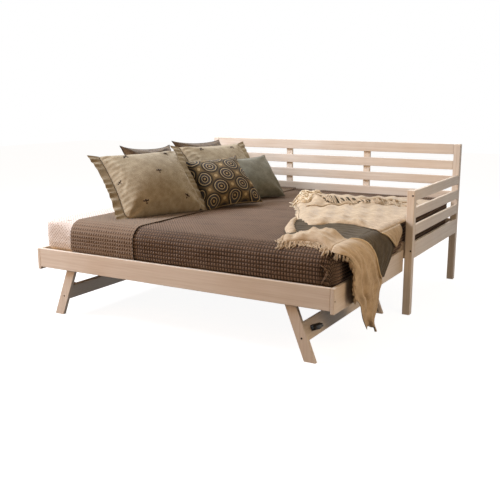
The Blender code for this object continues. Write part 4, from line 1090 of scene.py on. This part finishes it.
def laid_layer(layer, extra):
    """A layer between its left end and the foot: runs from one to the other, the front ones bowed back,
    lifted by the layer's stand and by folds that fade at the foot, with rolled edges. extra, if there is
    one, gives more folds from x, y and the shares along both."""
    knots = np.linspace(0, 1, len(layer["left_x"]))
    depth = np.ptp(layer["over_y"])
    s = np.linspace(0, 1, round(depth / THROW_CELL))
    left_x, left_y, over_y = (spline(knots, layer[key], s) for key in ("left_x", "left_y", "over_y"))
    end_x = spline(knots, np.broadcast_to(layer["end_x"], knots.shape), s)
    t = np.linspace(0, 1, round((end_x - left_x).mean() / THROW_CELL))
    x = left_x[:, None] + (end_x - left_x)[:, None] * t
    y = left_y[:, None] + (over_y - left_y)[:, None] * t
    y += layer["bow"] * np.sin(np.pi * t) * (1 - s[:, None]) ** 2
    fade = 1 - ease((t - layer["fade"]) / (1 - layer["fade"]))
    edge = nose(y - y[:1]) * nose(y[-1:] - y) * nose(x - left_x[:, None])
    folds = layer["thick"] + soft_folds(layer, x, y)
    if extra:
        folds += extra(x, y, s[:, None], t)
    lift = layer["stand"] + edge * fade * folds
    points = np.stack([x, y, bed_level(y) + lift], axis=-1)
    if layer["past"]:
        turn = np.radians(np.linspace(0, layer["past"], 6))[1:]
        reach = THROW_ROLL + layer["stand"]
        over = np.stack(np.broadcast_arrays(roll_x + reach * np.sin(turn), y[:, -1:],
                                            throw_base - THROW_ROLL + reach * np.cos(turn)), axis=-1)
        points = np.concatenate([points, over], axis=1)
    columns = points.shape[1]
    uv = np.stack(np.broadcast_arrays(np.arange(columns) * THROW_CELL, s[:, None] * depth), axis=-1)
    return points, uv


# Falls over the foot: y of the front and back edges by share of the drop, and the hem's height by share of
# the width
CREAM_FALL = {
    "down": (0, 0.06, 0.12, 0.19, 0.32, 0.42, 0.53, 0.60, 0.67, 0.78, 0.86, 1),
    "front_y": (-1.008, -1.010, -0.992, -0.940, -0.911, -0.916,
                -0.914, -0.893, -0.845, -0.816, -0.795, -0.740),
    "back_y": (-0.795, -0.725, -0.675, -0.622, -0.578, -0.545,
               -0.498, -0.530, -0.536, -0.558, -0.590, -0.545),
    "across": (0, 0.25, 0.45, 0.6, 0.8, 1),
    "hem": (0.120, 0.124, 0.104, 0.108, 0.062, 0.050),
    "stand": 0.0140, "from": 0, "deep": 0.034, "valley": 0.030,
}
GREY_FALL = {
    "down": (0, 0.5, 1), "front_y": (-0.870, -0.760, -0.620), "back_y": (-0.220, -0.245, -0.405),
    "across": (0, 0.5, 1), "hem": (0.335, 0.330, 0.322),
    "stand": 0.0035, "from": 0, "deep": 0.009, "valley": 0,
}
GREY_TIP = {
    "down": (0, 0.6, 0.8, 1),
    "front_y": (-0.800, -0.720, -0.640, -0.575), "back_y": (-0.600, -0.570, -0.550, -0.478),
    "across": (0, 0.5, 1), "hem": (0.162, 0.152, 0.140),
    "stand": 0.0080, "from": 0, "deep": 0.004, "valley": 0,
}
CREAM_CORNER = {
    "down": (0, 0.35, 1), "front_y": (-0.440, -0.360, -0.248), "back_y": (-0.120, -0.140, -0.218),
    "across": (0, 0.5, 1), "hem": (0.462, 0.460, 0.464),
    "stand": 0.0115, "from": 42, "deep": 0.008, "valley": 0,
}
VALLEY_TOP, VALLEY_LEAN, VALLEY_HALF = 0.10, 0.42, 0.045


def hanging_layer(fall):
    """A fall over the foot: from the top it turns a quarter circle and goes down. Its width runs between
    its two edge curves, and upright folds of three widths push it out, more the lower it hangs. A valley
    leans across it."""
    start = THROW_ROLL * np.radians(fall["from"])
    longest = THROW_ROLL * np.pi / 2 - start + throw_base - THROW_ROLL - min(fall["hem"])
    widest = np.ptp([fall["front_y"], fall["back_y"]])
    down = np.linspace(1, 0, round(longest / THROW_CELL))[:, None]
    across = np.linspace(0, 1, round(widest / THROW_CELL))[None, :]
    front_y = spline(fall["down"], fall["front_y"], down)
    back_y = spline(fall["down"], fall["back_y"], down)
    hem = spline(fall["across"], fall["hem"], across)
    run = start + down * (THROW_ROLL * np.pi / 2 - start + throw_base - THROW_ROLL - hem)
    turn = np.minimum(run / THROW_ROLL, np.pi / 2)
    sway = across + 0.05 * np.sin(2.4 * np.pi * down) * np.sin(np.pi * across)
    broad = np.abs(np.sin(np.pi * (1.75 * sway + 0.20 + 0.25 * down))) ** 0.9
    fold = 0.5 - 0.5 * np.cos(2 * np.pi * (3.3 * sway - 0.6 * down + 0.25))
    fine = 0.5 - 0.5 * np.cos(2 * np.pi * (7.1 * sway + 0.8 * down))
    valley = np.exp(-((across - VALLEY_TOP - VALLEY_LEAN * down) / VALLEY_HALF) ** 2)
    valley *= ease((0.9 - down) / 0.3)
    push = fall["deep"] * (0.55 * broad + 0.33 * fold + 0.12 * fine) - fall["valley"] * valley
    stand = fall["stand"] + np.maximum(ease(down / 0.35) * push, 0)
    reach = THROW_ROLL + stand
    y = front_y + (back_y - front_y) * across
    straight = np.maximum(run - THROW_ROLL * np.pi / 2, 0)
    points = np.stack([roll_x + reach * np.sin(turn), y,
                       throw_base - THROW_ROLL + reach * np.cos(turn) - straight], axis=-1)
    points[..., 2] -= (throw_base - bed_level(y)) * (1 - ease(down / 0.3))
    uv = np.stack(np.broadcast_arrays(across * widest, -run), axis=-1)
    return points, uv


STRAND_SHARES = np.linspace(0, 1, 7)
STRAND_FORM = np.array([0.9, 1.25, 0.75, 0.9, 1.0, 0.9, 0.35])
STRAND_SIDES = 5
STRAND_ROUND = 0.004 * np.arange(STRAND_SIDES)


def strands(roots, ways, lengths, radius, level, loose=0.11):
    """Twisted fringe strands from their roots: each lies along its way with a slow curl, on the level given
    for x and y but never above a droop from its root, thick at the knot and thin at the tip."""
    side = np.stack([-ways[:, 1], ways[:, 0]], axis=1)
    phase = chance.uniform(0, 2 * np.pi, len(roots))
    share = STRAND_SHARES[None, :]
    curl = loose * lengths[:, None] * (np.sin(phase[:, None] + 5.0 * share) - np.sin(phase)[:, None]) * share
    plan = roots[:, None, :2] + (lengths[:, None] * share)[..., None] * ways[:, None]
    plan = plan + curl[..., None] * side[:, None]
    rest = level(plan[..., 0], plan[..., 1]) + radius
    droop = roots[:, 2:3] - 1.4 * lengths[:, None] * share ** 1.5
    z = np.maximum(rest, np.minimum(droop, roots[:, 2:3] + radius))
    paths = np.concatenate([plan, z[..., None]], axis=-1)
    dye = chance.uniform(0, 3, (len(roots), 2))
    along = dye[:, 1, None, None] + lengths[:, None, None] * share[..., None]
    uv = np.stack(np.broadcast_arrays(dye[:, 0, None, None] + STRAND_ROUND, along), axis=-1)
    return [patch(tube(path, radius * STRAND_FORM, sides=STRAND_SIDES), own, wrap=True)
            for path, own in zip(paths, uv)]


def level_on(grid):
    """Height of a laid layer at x and y: that of its nearest point, or of the bed where none is near."""
    points = grid.reshape(-1, 3).astype(np.float32)

    def level(x, y):
        far = (np.asarray(x)[..., None] - points[:, 0]) ** 2 + (np.asarray(y)[..., None] - points[:, 1]) ** 2
        near = far.argmin(axis=-1)
        inside = np.take_along_axis(far, near[..., None], axis=-1)[..., 0] < (1.5 * THROW_CELL) ** 2
        return np.where(inside, np.maximum(points[near, 2], bed_level(y)), bed_level(y))

    return level


def ways_of(degrees):
    """Unit steps on the bed in these directions."""
    aim = np.radians(degrees)
    return np.stack([np.cos(aim), np.sin(aim)], axis=1)


LINE_X = (0.27, 0.40, 0.50, 0.62, 0.80)
LINE_Y = (0.00, 0.12, 0.24, 0.37, 0.52)
TASSELS, TASSEL_STRANDS, TASSEL_SPREAD = 16, 3, 0.0036
LONG_STRANDS, LONG_POINTS, LONG_RADIUS = 11, 22, 0.0042
BUNCH = ((0.000, 60), (0.006, 50), (0.012, 40))
FRONT_STRANDS, END_STRANDS, FALL_STRANDS = 120, 34, 96


def heap_fringe(back):
    """Tassels that droop over the heap's front, long strands that lie along their ends, and a loose bunch
    at the heap's left end in three storeys."""
    on_back = level_on(back)
    knot = np.repeat(np.linspace(0.235, 0.760, TASSELS), TASSEL_STRANDS)
    spread = np.tile(np.linspace(-1, 1, TASSEL_STRANDS), TASSELS)
    x = knot + TASSEL_SPREAD * spread
    y = spline(RIDGE_X, RIDGE_Y, x) + 0.012
    roots = np.stack([x, y, on_back(x, y) + 0.004], axis=1)
    ways = ways_of(-40 + 4 * spread + np.repeat(chance.uniform(-6, 6, TASSELS), TASSEL_STRANDS))
    lengths = np.repeat(chance.uniform(0.105, 0.135, TASSELS), TASSEL_STRANDS)
    lengths = lengths * chance.uniform(0.92, 1.05, knot.size)
    made = strands(roots, ways, lengths, 0.0038, on_back, loose=0.03)

    share = np.linspace(0, 1, LONG_POINTS)
    for start in np.linspace(0.29, 0.62, LONG_STRANDS):
        length, shift, wave = chance.uniform((0.16, -0.03, 0), (0.26, 0.02, 6))
        x = start + length * share
        y = spline(LINE_X, LINE_Y, np.clip(x, 0.2, 0.86)) + shift + 0.010 * np.sin(9 * share + wave)
        path = np.stack([x, y, on_back(x, y) + 0.004], axis=1)
        uv = np.stack(np.meshgrid(STRAND_ROUND + start, length * share), axis=-1)
        made.append(patch(tube(path, LONG_RADIUS, sides=STRAND_SIDES), uv, wrap=True))

    bunch = len(made)
    for storey, count in BUNCH:
        x, y = chance.uniform((0.140, 0.15), (0.255, 0.40), (count, 2)).T
        x += 0.3 * np.maximum(0.25 - y, 0)
        roots = np.stack([x, y, on_back(x, y) + storey + 0.006], axis=1)
        ways = ways_of(200 + chance.uniform(-60, 60, count))
        made += strands(roots, ways, chance.uniform(0.035, 0.070, count), 0.0040,
                        lambda px, py: on_back(px, py) + storey, 0.3)
    edge = back[2:-30:3, 0]
    ways = ways_of(190 + chance.uniform(-30, 30, len(edge)))
    made += strands(edge, ways, chance.uniform(0.012, 0.028, len(edge)), 0.0034, on_bed, 0.25)
    # The bunch and edge strands take the paler wool: painted light on strands that would sit in shade
    for loose_end in made[bunch:]:
        loose_end["material"] = 1
    return made


def front_fringe_strands(front):
    """Short tangled strands along the front layer's front edge and left end."""
    row = front[0, (chance.uniform(0, 0.97, FRONT_STRANDS) * (front.shape[1] - 1)).astype(int)]
    row = row + np.array([0, 0.006, 0.004])
    ways = ways_of(-105 - 40 * ease((0.74 - row[:, 0]) / 0.10) + chance.uniform(-50, 50, len(row)))
    made = strands(row, ways, chance.uniform(0.014, 0.038, len(row)), 0.0032, on_bed, 0.3)
    end = front[(chance.uniform(0, 0.8, END_STRANDS) * (front.shape[0] - 1)).astype(int), 1]
    ways = ways_of(205 + chance.uniform(-45, 45, len(end)))
    return made + strands(end, ways, chance.uniform(0.020, 0.055, len(end)), 0.0036, on_bed, 0.3)


def fall_fringe_strands(edge):
    """Short strands along the front edge of the long fall, which hang down and forward."""
    share = chance.uniform(0.03, 0.60, FALL_STRANDS)
    t = np.linspace(0, 1, 6)[:, None]
    made = []
    for root in edge[((1 - share) * (len(edge) - 1)).astype(int)]:
        ahead, drop, bend, dye = chance.uniform((0.002, 0.016, -0.008, 0), (0.014, 0.036, 0.008, 3))
        path = root + np.concatenate([bend * np.sin(3 * t), -ahead * np.sqrt(t), -drop * t], axis=1)
        uv = np.stack(np.meshgrid(STRAND_ROUND + dye, 0.05 * t[:, 0]), axis=-1)
        made.append(patch(tube(path, 0.0026 * (1.2 - 0.6 * t[:, 0]), sides=STRAND_SIDES), uv, wrap=True))
    return made


LYING = ((CREAM_BACK, heaped, CREAM), (TURNED_END, None, CREAM), (GREY_MIDDLE, None, GREY),
         (CREAM_FRONT, crowded, CREAM))
FALLS = ((CREAM_FALL, CREAM), (GREY_FALL, GREY), (GREY_TIP, GREY), (CREAM_CORNER, CREAM))
CORD_RADIUS = 0.0050


def two_sided(name, shapes, body):
    """A piece of the throw from its layers, each with its points, its coordinates and its colour, made
    thick with the other colour behind."""
    made = piece(name, [patch(points, uv, material=colour) for points, uv, colour in shapes],
                 [cream_wool, grey_wool, cream_wool], body)
    modifier(made, "SOLIDIFY", thickness=THROW_THICK, offset=-1.0, material_offset=1, use_even_offset=False)
    return made


def make_throw():
    """The lying part with its turned corner, the hanging part, bound edges and three fringes."""
    laid = [(*laid_layer(layer, extra), colour) for layer, extra, colour in LYING]
    back, front = laid[0][0], laid[-1][0]
    lying = two_sided("throw_lying", laid, None)
    # Under the tassels the cream cloth takes the grey colour, painted shade for the hollow between the
    # strands
    cells = back[:-1, :-1]
    from_ridge = cells[..., 1] - spline(RIDGE_X, RIDGE_Y, np.clip(cells[..., 0], 0, 1))
    turned = np.abs(from_ridge + 0.040) < 0.050 * ease((cells[..., 0] - 0.31) / 0.09)
    turned &= cells[..., 0] < 0.62
    owner = np.zeros(len(lying.data.polygons), np.int32)
    lying.data.polygons.foreach_get("material_index", owner)
    owner[:turned.size][turned.ravel()] = GREY
    lying.data.polygons.foreach_set("material_index", owner)
    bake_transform(lying)
    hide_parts("throw_daybed", "throw_trundle")

    shapes = [(*hanging_layer(fall), colour) for fall, colour in FALLS]
    hanging = two_sided("throw_hanging", shapes, "trundle")
    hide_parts("throw_fall")

    # Bound edges: soft cords along the back edge of the long fall and the front edge of the corner
    long_fall, corner_fall = shapes[0][0], shapes[-1][0]
    bound = (long_fall[long_fall.shape[0] // 2:, -1], corner_fall[:, 0])
    cords = [patch(tube(edge, CORD_RADIUS), wrap=True) for edge in bound]
    binding = piece("throw_binding", cords, [binding_and_lit_wool], "trundle", weld=True)
    fall_fringe = piece("throw_fringe_fall", fall_fringe_strands(long_fall[:, 0]), [cream_wool], "trundle",
                        weld=True)
    back_fringe = piece("throw_fringe_back", heap_fringe(back), [cream_wool, binding_and_lit_wool], "daybed",
                        weld=True)
    front_fringe = piece("throw_fringe_front", front_fringe_strands(front), [cream_wool], "trundle",
                         weld=True)

    for hung in (hanging, binding, fall_fringe):
        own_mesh(hung)


make_throw()


# Stage and light: white paper that reads white where no shadow falls, and large soft lamps above on the
# left, in front, behind and on the right
FLOOR_HALF, FLOOR_GLOW, FLOOR_TAKES = 14.0, 0.93, 0.27
AMBIENT = 0.255


def straight_rays(tree):
    """1 for rays from the camera, and for those that glossy and clear surfaces pass on."""
    rays = add(tree, "LightPath").node.outputs
    first = add(tree, "Math", {0: rays["Is Camera Ray"], 1: rays["Is Glossy Ray"]}, operation="MAXIMUM")
    return add(tree, "Math", {0: first, 1: rays["Is Transmission Ray"]}, operation="MAXIMUM")


def stage_floor():
    """A large square that glows and takes shadow for straight rays, and gives back little light to the
    rest."""
    material, tree, shader = blank("white_paper")
    tree.nodes.clear()
    glow = add(tree, "Emission", {"Color": linear("#FFFFFF"), "Strength": FLOOR_GLOW})
    takes = add(tree, "BsdfDiffuse", {"Color": (FLOOR_TAKES, FLOOR_TAKES, FLOOR_TAKES, 1)})
    seen = add(tree, "AddShader", {0: glow, 1: takes})
    bounce = add(tree, "BsdfDiffuse", {"Color": linear("#3C2C1C")})
    either = add(tree, "MixShader", {0: straight_rays(tree), 1: bounce, 2: seen})
    add(tree, "OutputMaterial", {"Surface": either})
    line = np.array([-FLOOR_HALF, FLOOR_HALF])
    x, y = np.meshgrid(line, line)
    floor = piece("floor", [patch(np.stack([x, y, np.zeros_like(x)], axis=-1))], [material])


def sky():
    """White for straight rays, and a warm dim light for the rest."""
    world = bpy.data.worlds.new("studio")
    bpy.context.scene.world = world
    world.use_nodes = True
    tree = world.node_tree
    tree.nodes.clear()
    soft = add(tree, "Background", {"Color": linear("#FFE3C4"), "Strength": AMBIENT})
    white = add(tree, "Background", {"Color": linear("#FFFFFF"), "Strength": 1.0})
    either = add(tree, "MixShader", {0: straight_rays(tree), 1: soft, 2: white})
    add(tree, "OutputWorld", {"Surface": either})


def softbox(name, place, target, size, power, colour):
    """A square lamp at a place, turned to a target."""
    data = bpy.data.lights.new(name, "AREA")
    data.size = size
    data.energy = power
    data.color = linear(colour)[:3]
    lamp = bpy.data.objects.new(name, data)
    lamp.location = place
    lamp.rotation_euler = (Vector(target) - Vector(place)).to_track_quat("-Z", "Y").to_euler()
    bpy.context.scene.collection.objects.link(lamp)


stage_floor()
sky()
softbox("overhead", (-3.0, -1.9, 3.1), (0.1, 0.3, 0.5), 1.8, 230, "#E9F1FF")
softbox("front_fill", (-2.2, -4.5, 2.2), (0.0, 0.0, 0.4), 2.5, 74, "#FFC48C")
softbox("back_top", (-1.4, 1.3, 3.2), (-0.2, 0.0, 0.5), 2.0, 53, "#FFFCF8")
softbox("right_fill", (2.4, -1.0, 1.0), (1.0, -1.0, 0.2), 1.0, 12, "#FFDDB8")
softbox("rear_fill", (0.8, 4.4, 2.3), (0.0, 0.9, 0.5), 2.5, 53, "#FFF3E4")

bpy.context.scene.view_settings.view_transform = "Standard"
